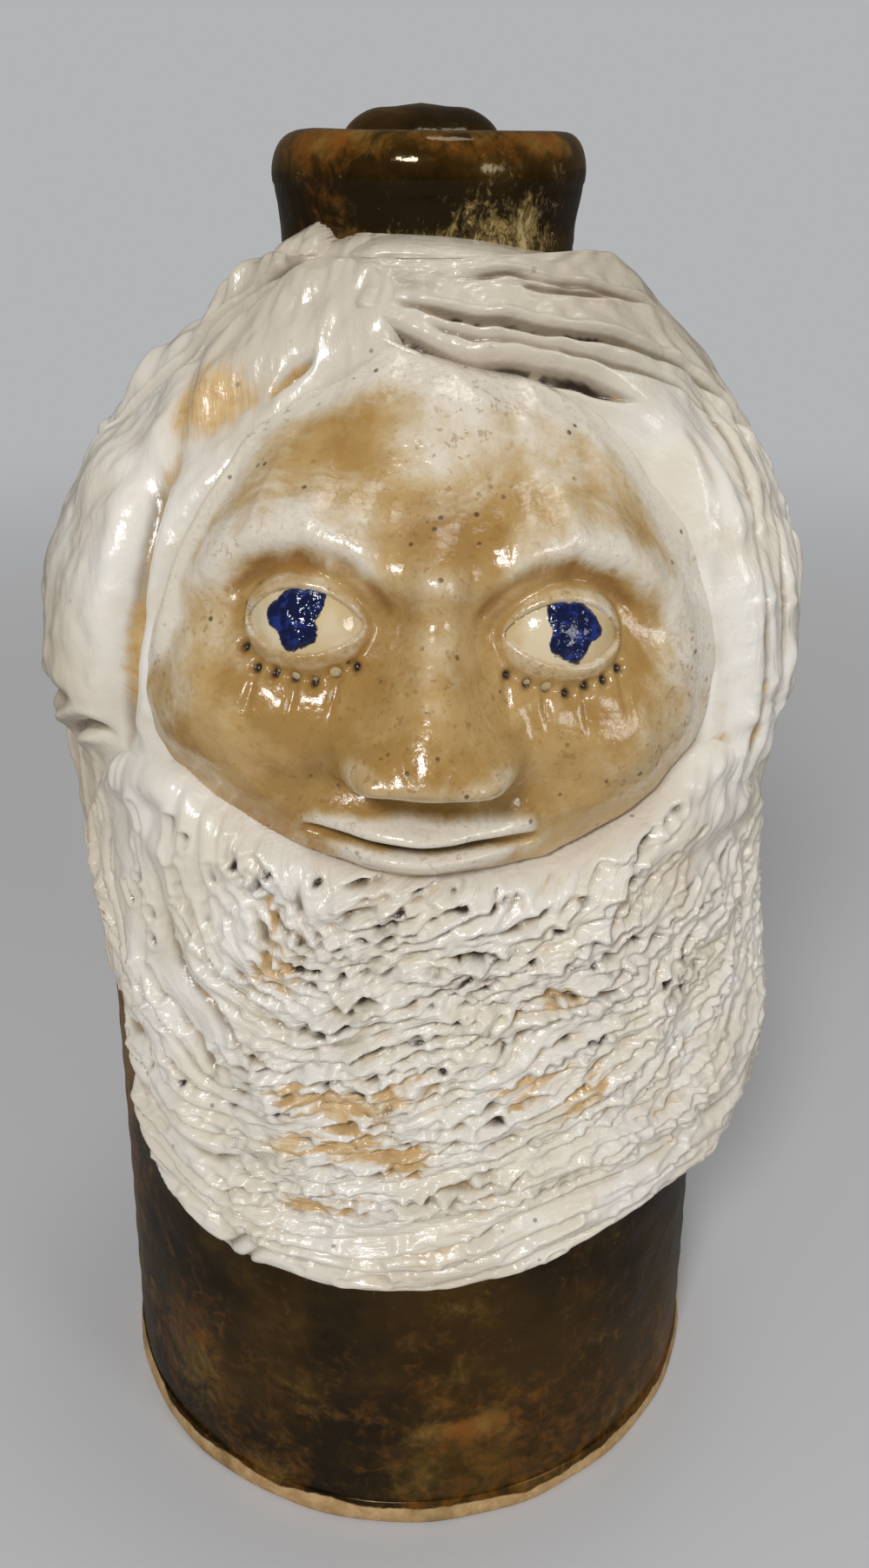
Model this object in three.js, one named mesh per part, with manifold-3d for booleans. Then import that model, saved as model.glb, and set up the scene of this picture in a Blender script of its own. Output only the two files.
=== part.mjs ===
// A hand-built stoneware face jug with long hair and a full beard.
// A slab foot carries a thrown wall with a rounded shoulder, a rolled neck and a strap handle behind.
// The head is clay laid on the wall: a skin slab with its features, hair in strands, and a thick beard.
// Millimetres, +Z up, origin under the middle of the foot. The face looks along -Y, left is -X.

import * as THREE from 'three';
import Module from 'manifold-3d';
import { mergeVertices } from 'three/addons/utils/BufferGeometryUtils.js';

const wasm = await Module();
wasm.setup();

// Vessel
const rimHeight = 200;
const footRadius = 49.8;
const chestRadius = 48;
const neckRadius = 19.5;
const rimRadius = 20.5;
const boreRadius = 13;
const slabThickness = 4.5;
const slabLip = 0.7;
const slabEase = 1.2;
const wallThickness = 5.5;
const neckHeight = 14;
const rimRoll = 5;
const lean = 4;
const shoulderSwell = 2.3;
const shoulderTuck = 1.6;
const neckStart = rimHeight - neckHeight;
const collarSeat = neckStart - rimRoll;
const shoulderStart = rimHeight * 0.66;

// Strap handle
const handleWidth = 24;
const handleThickness = 9.5;
const handleArch = 3;
const handleReach = 24;
const handleFoot = rimHeight * 0.48;

// Laid clay: the air that joined pieces keep, how far they are drawn into their seat before they
// are cut to it, and the thickness of each layer
const gap = 0.3;
const sink = 1;
const skinThickness = 4.5;
const eyeballRise = 7;
const lidThickness = 1.9;
const browRise = 4.2;
const cheekRise = 3.4;
const noseRise = 12;
const nostrilRise = 6;
const lipRise = 3.8;
const hairThickness = 8.2;
const hairWidth = 14;
const beardThickness = 7.5;
const beardRib = 1.1;

// Face canon: the head in three and a half equal units of height, and five eye widths across
const crownDrop = 2.5;
const headTop = neckStart - crownDrop;
const chinHeight = rimHeight * 0.55;
const faceWidth = 74;
const faceCentre = 2;
const headTilt = 3;
const unit = (headTop - chinHeight) / 3.5;
const eyeWidth = faceWidth / 5;
const eyeLine = (headTop + chinHeight) / 2;
const browLine = chinHeight + 2 * unit;
const noseLine = chinHeight + unit;
const mouthLine = chinHeight + unit * 2 / 3;

const glazes = {
  brown: new THREE.MeshStandardMaterial({ color: 0x4b2c12, roughness: 0.18, metalness: 0 }),
  bareClay: new THREE.MeshStandardMaterial({ color: 0xc39a6b, roughness: 0.85, metalness: 0 }),
  skin: new THREE.MeshStandardMaterial({ color: 0xc2a071, roughness: 0.22, metalness: 0 }),
  white: new THREE.MeshStandardMaterial({ color: 0xe3ddd0, roughness: 0.25, metalness: 0 }),
  cream: new THREE.MeshStandardMaterial({ color: 0xe6d3ab, roughness: 0.15, metalness: 0 }),
};

// The outside of the vessel: a straight taper, a rounded shoulder, then the neck
function wallRadius(z) {
  if (z <= shoulderStart) {
    return footRadius + (chestRadius - footRadius) * z / shoulderStart;
  }
  const climb = Math.min(1, (z - shoulderStart) / (neckStart - shoulderStart));
  return neckRadius + (chestRadius - neckRadius) * (1 - climb ** shoulderSwell) ** shoulderTuck;
}

function wallSlope(z) {
  const step = 0.5;
  return (wallRadius(z + step) - wallRadius(z - step)) / (2 * step);
}

// Sideways drift of the hand-thrown axis, which grows towards the rim
function leanAt(z) {
  return lean * (Math.max(0, z) / rimHeight) ** 1.5;
}

// A spot on the wall: across is measured round the chest from the middle of the front,
// and out is square to the surface
function onWall(across, z, out) {
  const slope = wallSlope(z);
  const square = 1 / Math.hypot(1, slope);
  const radius = wallRadius(z) + out * square;
  const angle = across / chestRadius;
  return new THREE.Vector3(
    leanAt(z) + radius * Math.sin(angle),
    -radius * Math.cos(angle),
    z - out * slope * square,
  );
}

// A spot of the hair and beard: sideways in half face widths, and up from the chin in head units
function onHead(aside, level) {
  return new THREE.Vector2(aside * faceWidth / 2, chinHeight + level * unit);
}

// A spot given on the upright face, turned with the tilt of the head
function onFace(x, z) {
  const turn = THREE.MathUtils.degToRad(-headTilt);
  const spot = new THREE.Vector2(x, z - eyeLine).rotateAround(new THREE.Vector2(), turn);
  return new THREE.Vector2(faceCentre + spot.x, eyeLine + spot.y);
}

// A value that changes evenly along a list, at t from 0 to 1
function along(list, t) {
  const place = t * (list.length - 1);
  const index = Math.min(list.length - 2, Math.floor(place));
  return THREE.MathUtils.lerp(list[index], list[index + 1], place - index);
}

function geometryFrom(points, faces) {
  const geometry = new THREE.BufferGeometry();
  const numbers = points.flatMap((p) => p.toArray());
  geometry.setAttribute('position', new THREE.Float32BufferAttribute(numbers, 3));
  geometry.setIndex(faces.flat());
  return geometry;
}

// Faces that join neighbouring closed rings of equal length, with a tip at each end
function skinRings(rings, firstTip, lastTip) {
  const size = rings[0].length;
  const points = [...rings.flat(), firstTip, lastTip];
  const first = points.length - 2;
  const last = points.length - 1;
  const faces = [];
  for (let i = 0; i < size; i += 1) {
    const j = (i + 1) % size;
    faces.push([first, i, j]);
    for (let ring = 0; ring < rings.length - 1; ring += 1) {
      const here = ring * size;
      const next = here + size;
      faces.push([here + i, next + i, next + j], [here + i, next + j, here + j]);
    }
    const end = (rings.length - 1) * size;
    faces.push([end + i, last, end + j]);
  }
  return geometryFrom(points, faces);
}

// How far out from its middle each ring of a pad lies, from 0 to 1 and closer together at the edge
function ringShares(rings) {
  const crowding = 1.8;
  return Array.from({ length: rings }, (_, i) => 1 - (1 - (i + 1) / rings) ** crowding);
}

// A pressed pad of clay: a closed outline on the wall, crowned in front. It reaches a little into
// what it is seated on, which is cut away from it later
function pad({ outline, base = 0, rise, fullness = 2, shares = ringShares(4), sides = 28 }, grow = 0) {
  const riseAt = typeof rise === 'function' ? rise : () => rise;
  const curve = new THREE.CatmullRomCurve3(outline.map((p) => new THREE.Vector3(p.x, p.y, 0)), true);
  const edge = curve.getSpacedPoints(sides).slice(0, sides);
  const centre = edge.reduce((sum, p) => sum.add(p), new THREE.Vector3()).divideScalar(sides);
  const seat = base - sink - grow;
  const heightAt = (spot, share) => riseAt(spot, share) + sink + 2 * grow;
  const front = shares.map((share) => {
    const crown = (1 - share ** fullness) ** (1 / fullness);
    return edge.map((p) => {
      const arm = p.clone().sub(centre);
      const spot = arm.setLength((arm.length() + grow) * share).add(centre);
      return onWall(spot.x, spot.y, seat + heightAt(spot, share) * crown);
    });
  });
  const top = onWall(centre.x, centre.y, seat + heightAt(centre, 0));
  return skinRings(front, top, onWall(centre.x, centre.y, seat));
}

// An ellipse on the wall, as an outline for a pad
function oval(spot, halfWidth, halfHeight, turn = 0) {
  return Array.from({ length: 12 }, (_, i) => {
    const angle = i / 12 * 2 * Math.PI;
    const point = new THREE.Vector2(halfWidth * Math.cos(angle), halfHeight * Math.sin(angle));
    return point.rotateAround(new THREE.Vector2(), THREE.MathUtils.degToRad(turn)).add(spot);
  });
}

// A rolled strand of clay along a line on the wall, round in front and closed at its tips. It
// reaches a little into what it is seated on, as a pad does
function strand({ line, widths, rises, base = 0, steps = 16, sides = 6, tip = 0.18 }, grow = 0) {
  const curve = new THREE.CatmullRomCurve3(line.map((p) => new THREE.Vector3(p.x, p.y, 0)));
  const seat = base - sink - grow;
  const crowding = 0.05;
  const flatness = 0.8;
  const rings = [];
  for (let step = 1; step < steps; step += 1) {
    const t = step / steps - Math.sin(step / steps * 2 * Math.PI) * crowding;
    const spot = curve.getPointAt(t);
    const way = curve.getTangentAt(t);
    const squeeze = wallRadius(spot.y) / chestRadius;
    const stretch = Math.hypot(1, wallSlope(spot.y));
    const side = new THREE.Vector2(-way.y * stretch, way.x * squeeze).normalize();
    const rounding = Math.sqrt(Math.min(1, Math.min(t, 1 - t) / tip));
    const half = along(widths, t) / 2 * rounding + grow;
    const high = along(rises, t) * rounding + sink + 2 * grow;
    const ring = [];
    for (let i = 0; i <= sides; i += 1) {
      const sweep = i / sides * Math.PI;
      ring.push(onWall(
        spot.x + side.x * half * Math.cos(sweep) / squeeze,
        spot.y + side.y * half * Math.cos(sweep) / stretch,
        seat + high * Math.sin(sweep) ** flatness,
      ));
    }
    rings.push(ring);
  }
  const [first, last] = [0, 1].map((t) => {
    const spot = curve.getPointAt(t).addScaledVector(curve.getTangentAt(t), (t ? 3 : -3) * grow);
    return onWall(spot.x, spot.y, base);
  });
  return skinRings(rings, first, last);
}

// A flattened strap swept along a path in the middle plane behind the jug
function strap(path, widths, thicknesses) {
  const steps = 24;
  const sides = 12;
  const squareness = 0.7;
  const rings = [];
  for (let step = 0; step <= steps; step += 1) {
    const t = step / steps;
    const spot = path.getPointAt(t);
    const way = path.getTangentAt(t);
    const square = new THREE.Vector3(1, 0, 0).cross(way).normalize();
    const ring = [];
    for (let i = 0; i < sides; i += 1) {
      const sweep = i / sides * 2 * Math.PI;
      const wide = Math.sign(Math.cos(sweep)) * Math.abs(Math.cos(sweep)) ** squareness;
      ring.push(spot.clone()
        .addScaledVector(new THREE.Vector3(1, 0, 0), along(widths, t) / 2 * wide)
        .addScaledVector(square, along(thicknesses, t) / 2 * Math.sin(sweep)));
    }
    rings.push(ring);
  }
  return skinRings(rings, path.getPointAt(0), path.getPointAt(1));
}

// A turned shape about the vessel's axis, drawn as radius and height, with the lean of the jug
function turned(profile, sides) {
  const outline = profile.map(([radius, z]) => new THREE.Vector2(radius, z));
  const geometry = new THREE.LatheGeometry(outline, sides).rotateX(Math.PI / 2);
  const position = geometry.attributes.position;
  for (let i = 0; i < position.count; i += 1) {
    position.setX(i, position.getX(i) + leanAt(position.getZ(i)));
  }
  return geometry;
}

// A closed geometry as a solid, with its faces turned outwards
function solidOf(geometry) {
  const bare = geometry.clone();
  bare.deleteAttribute('normal');
  bare.deleteAttribute('uv');
  const merged = mergeVertices(bare, 1e-4);
  const position = merged.attributes.position;
  const triVerts = Uint32Array.from(merged.index.array);
  const corners = [0, 1, 2].map(() => new THREE.Vector3());
  let volume = 0;
  for (let i = 0; i < triVerts.length; i += 3) {
    corners.forEach((corner, k) => corner.fromBufferAttribute(position, triVerts[i + k]));
    volume += corners[0].dot(corners[1].clone().cross(corners[2]));
  }
  if (volume < 0) {
    for (let i = 0; i < triVerts.length; i += 3) {
      [triVerts[i], triVerts[i + 1]] = [triVerts[i + 1], triVerts[i]];
    }
  }
  return new wasm.Manifold(new wasm.Mesh({
    numProp: 3,
    vertProperties: Float32Array.from(position.array),
    triVerts,
  }));
}

// The largest lump of a cut solid, as a geometry
function geometryOf(solid) {
  const lumps = solid.decompose().sort((a, b) => b.volume() - a.volume());
  const { vertProperties, triVerts } = lumps[0].getMesh();
  const geometry = new THREE.BufferGeometry();
  geometry.setAttribute('position', new THREE.BufferAttribute(vertProperties, 3));
  geometry.setIndex(new THREE.BufferAttribute(triVerts, 1));
  return geometry;
}

const jug = new THREE.Group();
const vessel = new THREE.Group();
const face = new THREE.Group();
const hair = new THREE.Group();
jug.add(vessel, face, hair);

function addMesh(group, name, material, solid) {
  const mesh = new THREE.Mesh(geometryOf(solid), material);
  mesh.name = name;
  group.add(mesh);
}

const shapes = new Map();

// Lays a piece of clay on the vessel. Its shape is a function of how much it is grown. It is cut
// to the vessel and to the named neighbours laid before it, and keeps the gap to each
function lay(group, name, material, shape, yieldsTo = []) {
  shapes.set(name, shape);
  let solid = solidOf(shape(0)).subtract(solidOf(vesselFilled(gap)));
  for (const neighbour of yieldsTo) {
    solid = solid.subtract(solidOf(shapes.get(neighbour)(gap)));
  }
  addMesh(group, name, material, solid);
}

// Heights at which a turned profile is drawn, closer together where the wall curves
function wallHeights(from, to) {
  const heights = [from];
  for (const z of [shoulderStart / 3, shoulderStart * 2 / 3, shoulderStart]) {
    if (z > from && z < to) {
      heights.push(z);
    }
  }
  const bends = 8;
  for (let i = 1; i <= bends; i += 1) {
    const z = shoulderStart + (neckStart - shoulderStart) * i / bends;
    if (z < to) {
      heights.push(z);
    }
  }
  heights.push(to);
  return heights;
}

const vesselSides = 44;

// Foot slab, a little wider than the wall, with eased edges
function footSlab() {
  const radius = footRadius + slabLip;
  return turned([
    [0, 0],
    [radius - slabEase, 0],
    [radius, slabEase],
    [radius, slabThickness - slabEase],
    [radius - slabEase, slabThickness],
    [0, slabThickness],
  ], vesselSides);
}

// Wall from the slab to the seat of the collar, open at both ends
function vesselWall() {
  const heights = wallHeights(slabThickness, collarSeat);
  const outside = heights.map((z) => [wallRadius(z), z]);
  const inside = heights.map((z) => {
    const level = wallThickness * Math.hypot(1, wallSlope(z));
    return [Math.max(boreRadius, wallRadius(z) - level), z];
  });
  return turned([...outside, ...inside.reverse(), outside[0]], vesselSides);
}

// Outside of the neck above the seat of the collar: straight, then a rolled rim that ends at the bore
function collarOutside(grow) {
  const outline = [
    [wallRadius(collarSeat) + grow, collarSeat],
    [wallRadius((collarSeat + neckStart) / 2) + grow, (collarSeat + neckStart) / 2],
    [neckRadius + grow, neckStart],
    [neckRadius + grow, rimHeight - 2 * rimRoll],
  ];
  const half = (rimRadius - boreRadius) / 2;
  const bends = 7;
  for (let i = 0; i <= bends; i += 1) {
    const sweep = i / bends * Math.PI;
    outline.push([
      boreRadius + half + (half + grow) * Math.cos(sweep),
      rimHeight - rimRoll + (rimRoll + grow) * Math.sin(sweep),
    ]);
  }
  return outline;
}

// Neck collar: it continues the shoulder, flares and ends in a rolled rim
function neckCollar() {
  const outside = collarOutside(0);
  return turned([[boreRadius, collarSeat], ...outside, [boreRadius, collarSeat]], vesselSides);
}

// The vessel as a filled solid, for cutting what is joined to it
function vesselFilled(grow) {
  const heights = wallHeights(slabThickness, collarSeat);
  const outside = heights.map((z) => [wallRadius(z) + grow, z]);
  const above = collarOutside(grow).slice(1);
  return turned([[0, slabThickness], ...outside, ...above, [0, above.at(-1)[1]]], vesselSides);
}

// Strap handle: out of the neck, over its arch, down behind and back into the wall
function strapHandle() {
  const top = rimHeight + handleArch - handleThickness / 2;
  const back = footRadius + handleReach - handleThickness / 2;
  const middle = (top + handleFoot) / 2;
  const thick = handleThickness;
  const points = [
    [neckRadius - thick * 0.42, neckStart - thick * 0.42],
    [neckRadius + thick * 0.74, neckStart + thick * 0.32],
    [neckRadius + thick * 1.9, top],
    [back - thick * 0.95, top - thick * 0.95],
    [back, middle + thick * 1.26],
    [back - thick * 0.32, middle - thick * 1.47],
    [wallRadius(handleFoot) + thick * 0.32, handleFoot + thick * 1.05],
    [wallRadius(handleFoot) - thick * 0.42, handleFoot + thick * 0.21],
  ].map(([y, z]) => new THREE.Vector3(leanAt(middle), y, z));
  const widths = [1.17, 1, 0.96, 0.88, 0.92, 1.21].map((share) => handleWidth * share);
  const thicknesses = [1.32, 1, 0.95, 1.32].map((share) => thick * share);
  return strap(new THREE.CatmullRomCurve3(points), widths, thicknesses);
}

addMesh(vessel, 'base_slab', glazes.bareClay, solidOf(footSlab()));
addMesh(vessel, 'body_wall', glazes.brown, solidOf(vesselWall()));
addMesh(vessel, 'neck_collar', glazes.brown, solidOf(neckCollar()));
lay(vessel, 'strap_handle', glazes.brown, strapHandle);

// Skin slab of the face, from under the hair to the top of the beard
const skinOutline = [
  [0, headTop - unit * 0.35], [faceWidth * 0.38, browLine + unit * 0.8], [faceWidth * 0.52, browLine],
  [faceWidth * 0.53, noseLine + unit * 0.1], [faceWidth * 0.36, noseLine - unit * 0.3],
  [faceWidth * 0.18, mouthLine - unit * 0.25], [0, mouthLine - unit * 0.28],
  [-faceWidth * 0.18, mouthLine - unit * 0.25], [-faceWidth * 0.36, noseLine - unit * 0.3],
  [-faceWidth * 0.5, noseLine + unit * 0.1], [-faceWidth * 0.48, browLine],
  [-faceWidth * 0.36, browLine + unit * 0.75],
].map(([x, z]) => onFace(x, z));

const hands = { left: -1, right: 1 };

for (const [hand, sign] of Object.entries(hands)) {
  const spot = onFace(sign * eyeWidth, eyeLine);
  lay(face, `eyeball_${hand}`, glazes.cream, (grow) => pad({
    outline: oval(spot, eyeWidth * 0.54, eyeWidth * 0.46, -headTilt),
    rise: eyeballRise,
    shares: ringShares(5),
    sides: 24,
  }, grow));
}

lay(face, 'face_slab', glazes.skin, (grow) => pad({
  outline: skinOutline,
  rise: skinThickness,
  fullness: 5,
  shares: ringShares(7),
  sides: 36,
}, grow), ['eyeball_left', 'eyeball_right']);

// Nose: a wedge from between the brows to the tip, with a wing on each side
lay(face, 'nose', glazes.skin, (grow) => strand({
  line: [
    onFace(0, browLine - unit * 0.08),
    onFace(0, (browLine + noseLine) / 2),
    onFace(0, noseLine + unit * 0.04),
  ],
  widths: [eyeWidth * 0.42, eyeWidth * 0.5, eyeWidth * 0.72, eyeWidth * 0.86],
  rises: [noseRise * 0.3, noseRise * 0.5, noseRise * 0.85, noseRise],
  base: skinThickness,
  steps: 14,
  sides: 8,
  tip: 0.14,
}, grow), ['face_slab']);

for (const [hand, sign] of Object.entries(hands)) {
  const spot = onFace(sign * eyeWidth * 0.38, noseLine + unit * 0.17);
  lay(face, `nose_wing_${hand}`, glazes.skin, (grow) => pad({
    outline: oval(spot, eyeWidth * 0.2, unit * 0.16),
    base: skinThickness,
    rise: nostrilRise,
    sides: 16,
  }, grow), ['face_slab', 'nose']);
}

// Eyelids, brows and cheeks of each side. The lids lie round the bulge of the eyeball, which stands
// out of the skin
const bulge = eyeballRise - skinThickness;
for (const [hand, sign] of Object.entries(hands)) {
  const eyeball = `eyeball_${hand}`;
  const lid = (height, corner) => [
    onFace(sign * eyeWidth * 0.46, eyeLine + corner),
    onFace(sign * eyeWidth * 0.7, eyeLine + height * 0.85),
    onFace(sign * eyeWidth, eyeLine + height),
    onFace(sign * eyeWidth * 1.32, eyeLine + height * 0.8),
    onFace(sign * eyeWidth * 1.54, eyeLine + corner),
  ];
  lay(face, `upper_lid_${hand}`, glazes.skin, (grow) => strand({
    line: lid(eyeWidth * 0.36, eyeWidth * 0.03),
    widths: [eyeWidth * 0.15, eyeWidth * 0.24, eyeWidth * 0.15],
    rises: [lidThickness, bulge + lidThickness * 1.2, lidThickness],
    base: skinThickness,
    steps: 14,
  }, grow), ['face_slab', eyeball]);
  lay(face, `lower_lid_${hand}`, glazes.skin, (grow) => strand({
    line: lid(-eyeWidth * 0.34, -eyeWidth * 0.06),
    widths: [eyeWidth * 0.14, eyeWidth * 0.22, eyeWidth * 0.14],
    rises: [lidThickness, bulge + lidThickness * 0.6, lidThickness],
    base: skinThickness,
    steps: 14,
  }, grow), ['face_slab', eyeball, `upper_lid_${hand}`]);
  lay(face, `brow_${hand}`, glazes.skin, (grow) => strand({
    line: [
      onFace(sign * eyeWidth * 0.42, browLine - unit * 0.02),
      onFace(sign * eyeWidth * 0.9, browLine + unit * 0.1),
      onFace(sign * eyeWidth * 1.35, browLine + unit * 0.08),
      onFace(sign * eyeWidth * 1.75, browLine - unit * 0.12),
    ],
    widths: [eyeWidth * 0.34, eyeWidth * 0.44, eyeWidth * 0.37, eyeWidth * 0.27],
    rises: [browRise * 0.8, browRise, browRise * 0.8, browRise * 0.5],
    base: skinThickness,
    steps: 12,
  }, grow), ['face_slab', eyeball, 'nose', `upper_lid_${hand}`]);
  const apple = onFace(sign * eyeWidth * 1.32, noseLine + unit * 0.18);
  lay(face, `cheek_${hand}`, glazes.skin, (grow) => pad({
    outline: oval(apple, eyeWidth * 0.78, unit * 0.34, sign * 12),
    base: skinThickness,
    rise: cheekRise,
    fullness: 2.2,
    sides: 24,
  }, grow), ['face_slab', eyeball, `lower_lid_${hand}`, `nose_wing_${hand}`]);
}

// Lips, with the mouth as the line between them
lay(face, 'upper_lip', glazes.white, (grow) => strand({
  line: [
    onFace(-eyeWidth * 0.8, mouthLine + unit * 0.04),
    onFace(-eyeWidth * 0.3, mouthLine + unit * 0.11),
    onFace(0, mouthLine + unit * 0.09),
    onFace(eyeWidth * 0.3, mouthLine + unit * 0.11),
    onFace(eyeWidth * 0.8, mouthLine + unit * 0.04),
  ],
  widths: [unit * 0.11, unit * 0.2, unit * 0.18, unit * 0.2, unit * 0.11],
  rises: [lipRise * 0.6, lipRise, lipRise * 0.9, lipRise, lipRise * 0.6],
  base: skinThickness,
}, grow), ['face_slab', 'cheek_left', 'cheek_right']);
lay(face, 'lower_lip', glazes.white, (grow) => strand({
  line: [
    onFace(-eyeWidth * 0.72, mouthLine - unit * 0.04),
    onFace(0, mouthLine - unit * 0.1),
    onFace(eyeWidth * 0.72, mouthLine - unit * 0.04),
  ],
  widths: [unit * 0.11, unit * 0.22, unit * 0.11],
  rises: [lipRise * 0.6, lipRise, lipRise * 0.6],
  base: skinThickness,
}, grow), ['face_slab', 'upper_lip', 'cheek_left', 'cheek_right']);

const faceParts = [
  'face_slab', 'cheek_left', 'cheek_right', 'brow_left', 'brow_right', 'upper_lip', 'lower_lip',
];

// Hair that sweeps from the parting over the forehead and down the right side, inmost strand first
const rightStrands = [
  {
    line: [
      [-0.5, 3.14], [0.09, 3.12], [0.54, 3.08], [0.86, 2.92], [1.11, 2.52], [1.25, 1.95], [1.29, 1.33],
      [1.22, 0.52],
    ],
    broad: 0.71,
  },
  {
    line: [
      [-0.36, 3.33], [0.18, 3.3], [0.68, 3.23], [1.04, 3.05], [1.34, 2.62], [1.52, 2], [1.58, 1.29],
      [1.52, 0.38],
    ],
    broad: 0.93,
  },
  {
    line: [
      [-0.68, 3.54], [0, 3.48], [0.59, 3.4], [1.13, 3.24], [1.54, 2.81], [1.79, 2.14], [1.9, 1.33],
      [1.83, 0.24],
    ],
    broad: 1,
  },
  {
    line: [[0.77, 3.48], [1.31, 3.4], [1.77, 3.1], [2.06, 2.48], [2.22, 1.76], [2.26, 1], [2.2, 0.1]],
    broad: 1,
  },
];
rightStrands.forEach(({ line, broad }, i) => {
  const inner = i ? [`hair_right_${i}`] : [];
  const width = hairWidth * broad;
  lay(hair, `hair_right_${i + 1}`, glazes.white, (grow) => strand({
    line: line.map(([aside, level]) => onHead(aside, level)),
    widths: [width * 0.4, width * 0.5, width * 0.8, width, width],
    rises: [hairThickness * 0.4, hairThickness * 0.7, hairThickness, hairThickness],
    steps: 24,
    tip: 0.07,
  }, grow), ['face_slab', 'brow_right', 'cheek_right', ...inner]);
});

// Hair on the left: a sheet from the parting to the temple, a hanging lobe with a fold at its end,
// and a roped edge
const sheetLine = [[-0.32, 3.52], [-0.77, 3.29], [-1.11, 2.86], [-1.29, 2.29], [-1.34, 1.71]];
lay(hair, 'hair_left_sheet', glazes.white, (grow) => strand({
  line: sheetLine.map(([aside, level]) => onHead(aside, level)),
  widths: [hairWidth * 0.64, hairWidth, hairWidth * 1.29, hairWidth * 1.21],
  rises: [hairThickness * 0.4, hairThickness * 0.7, hairThickness * 0.7, hairThickness * 0.5],
  steps: 16,
  tip: 0.1,
}, grow), ['face_slab', 'brow_left', 'hair_right_1', 'hair_right_2', 'hair_right_3']);

const lobeOutline = [
  [-1.04, 2.29], [-1.36, 2.62], [-1.77, 2.67], [-2.06, 2.19], [-2.15, 1.48], [-2.04, 0.9], [-1.76, 0.55],
  [-1.4, 0.46], [-1.09, 0.67], [-1, 1.24], [-0.97, 1.81],
];
lay(hair, 'hair_left_lobe', glazes.white, (grow) => pad({
  outline: lobeOutline.map(([aside, level]) => onHead(aside, level)),
  rise: hairThickness * 0.72,
  fullness: 3,
  shares: ringShares(6),
  sides: 36,
}, grow), ['face_slab', 'cheek_left', 'brow_left', 'hair_left_sheet']);

const ropeLine = [[-0.82, 3.64], [-1.31, 3.45], [-1.72, 3.05], [-2.02, 2.43], [-2.2, 1.71]];
lay(hair, 'hair_left_rope', glazes.white, (grow) => strand({
  line: ropeLine.map(([aside, level]) => onHead(aside, level)),
  widths: [hairWidth * 0.43, hairWidth * 0.64, hairWidth * 0.79, hairWidth * 0.64],
  rises: [hairThickness * 0.3, hairThickness * 0.55, hairThickness * 0.65, hairThickness * 0.5],
  steps: 18,
  tip: 0.08,
}, grow), ['hair_left_sheet', 'hair_left_lobe', 'hair_right_3', 'hair_right_4']);

lay(hair, 'hair_left_fold', glazes.white, (grow) => pad({
  outline: oval(onHead(-1.82, 0.4), hairWidth * 0.8, hairWidth * 0.5, -30),
  rise: hairThickness * 0.36,
  fullness: 2.5,
  sides: 20,
}, grow), ['hair_left_lobe']);

// A thin lock runs on from the lobe and along the edge of the beard
const lockLine = [[-1.78, 0.62], [-1.66, 0.3], [-1.53, -0.1], [-1.39, -0.6], [-1.28, -1.1]];
lay(hair, 'hair_left_lock', glazes.white, (grow) => strand({
  line: lockLine.map(([aside, level]) => onHead(aside, level)),
  widths: [hairWidth * 0.86, hairWidth * 0.8, hairWidth * 0.7, hairWidth * 0.5, hairWidth * 0.36],
  rises: [hairThickness * 0.42, hairThickness * 0.34, hairThickness * 0.3, hairThickness * 0.26],
  tip: 0.1,
}, grow), ['hair_left_lobe', 'hair_left_fold']);

// Beard slab: under the mouth, round to the right side and down to a broad round end
const beardOutline = [
  [-1.04, 0.71], [-0.82, 0.83], [-0.61, 0.67], [-0.41, 0.5], [-0.18, 0.38], [0.09, 0.34], [0.36, 0.32],
  [0.59, 0.4], [0.82, 0.57], [1.04, 0.76], [1.36, 0.67], [1.81, 0.43], [2.13, -0.1], [2.15, -1.24],
  [1.95, -2.1], [1.54, -2.45], [1.09, -2.5], [0.66, -2.6], [0.27, -2.79], [0, -2.83], [-0.34, -2.81],
  [-0.66, -2.7], [-0.93, -2.42], [-1.13, -1.9], [-1.22, -1.29], [-1.36, -0.57], [-1.5, 0.1],
  [-1.34, 0.57],
].map(([aside, level]) => onHead(aside, level));

// Rings of the beard: one on each crest and hollow of its ribs, then the rounded edge
const beardRibs = 4;
const beardShares = [0.125, 0.25, 0.375, 0.5, 0.625, 0.75, 0.875, 0.95, 0.99, 1];

// The beard is thin where it fades into the left side. Round to the right it is thin at the top
// and thickest at its lower corner. Broad ribs follow its outline
function beardRise(spot, share) {
  const { smoothstep } = THREE.MathUtils;
  const left = 1 - smoothstep(spot.x, onHead(-1.7, 0).x, onHead(-0.57, 0).x);
  const right = smoothstep(spot.x, onHead(0.45, 0).x, onHead(1.81, 0).x);
  const low = 1 - smoothstep(spot.y, onHead(0, -2).y, onHead(0, -0.48).y);
  const hollow = (1 - Math.cos(share * beardRibs * 2 * Math.PI)) / 2;
  return beardThickness * (1 - 0.6 * left + right * (0.6 * low - 0.3)) - beardRib * hollow;
}

lay(hair, 'beard', glazes.white, (grow) => pad({
  outline: beardOutline,
  rise: beardRise,
  fullness: 5,
  shares: beardShares,
  sides: 56,
}, grow), [
  ...faceParts, 'hair_right_1', 'hair_right_2', 'hair_right_3', 'hair_right_4', 'hair_left_lobe',
  'hair_left_fold', 'hair_left_lock',
]);

export default jug;
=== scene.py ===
import math

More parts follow.
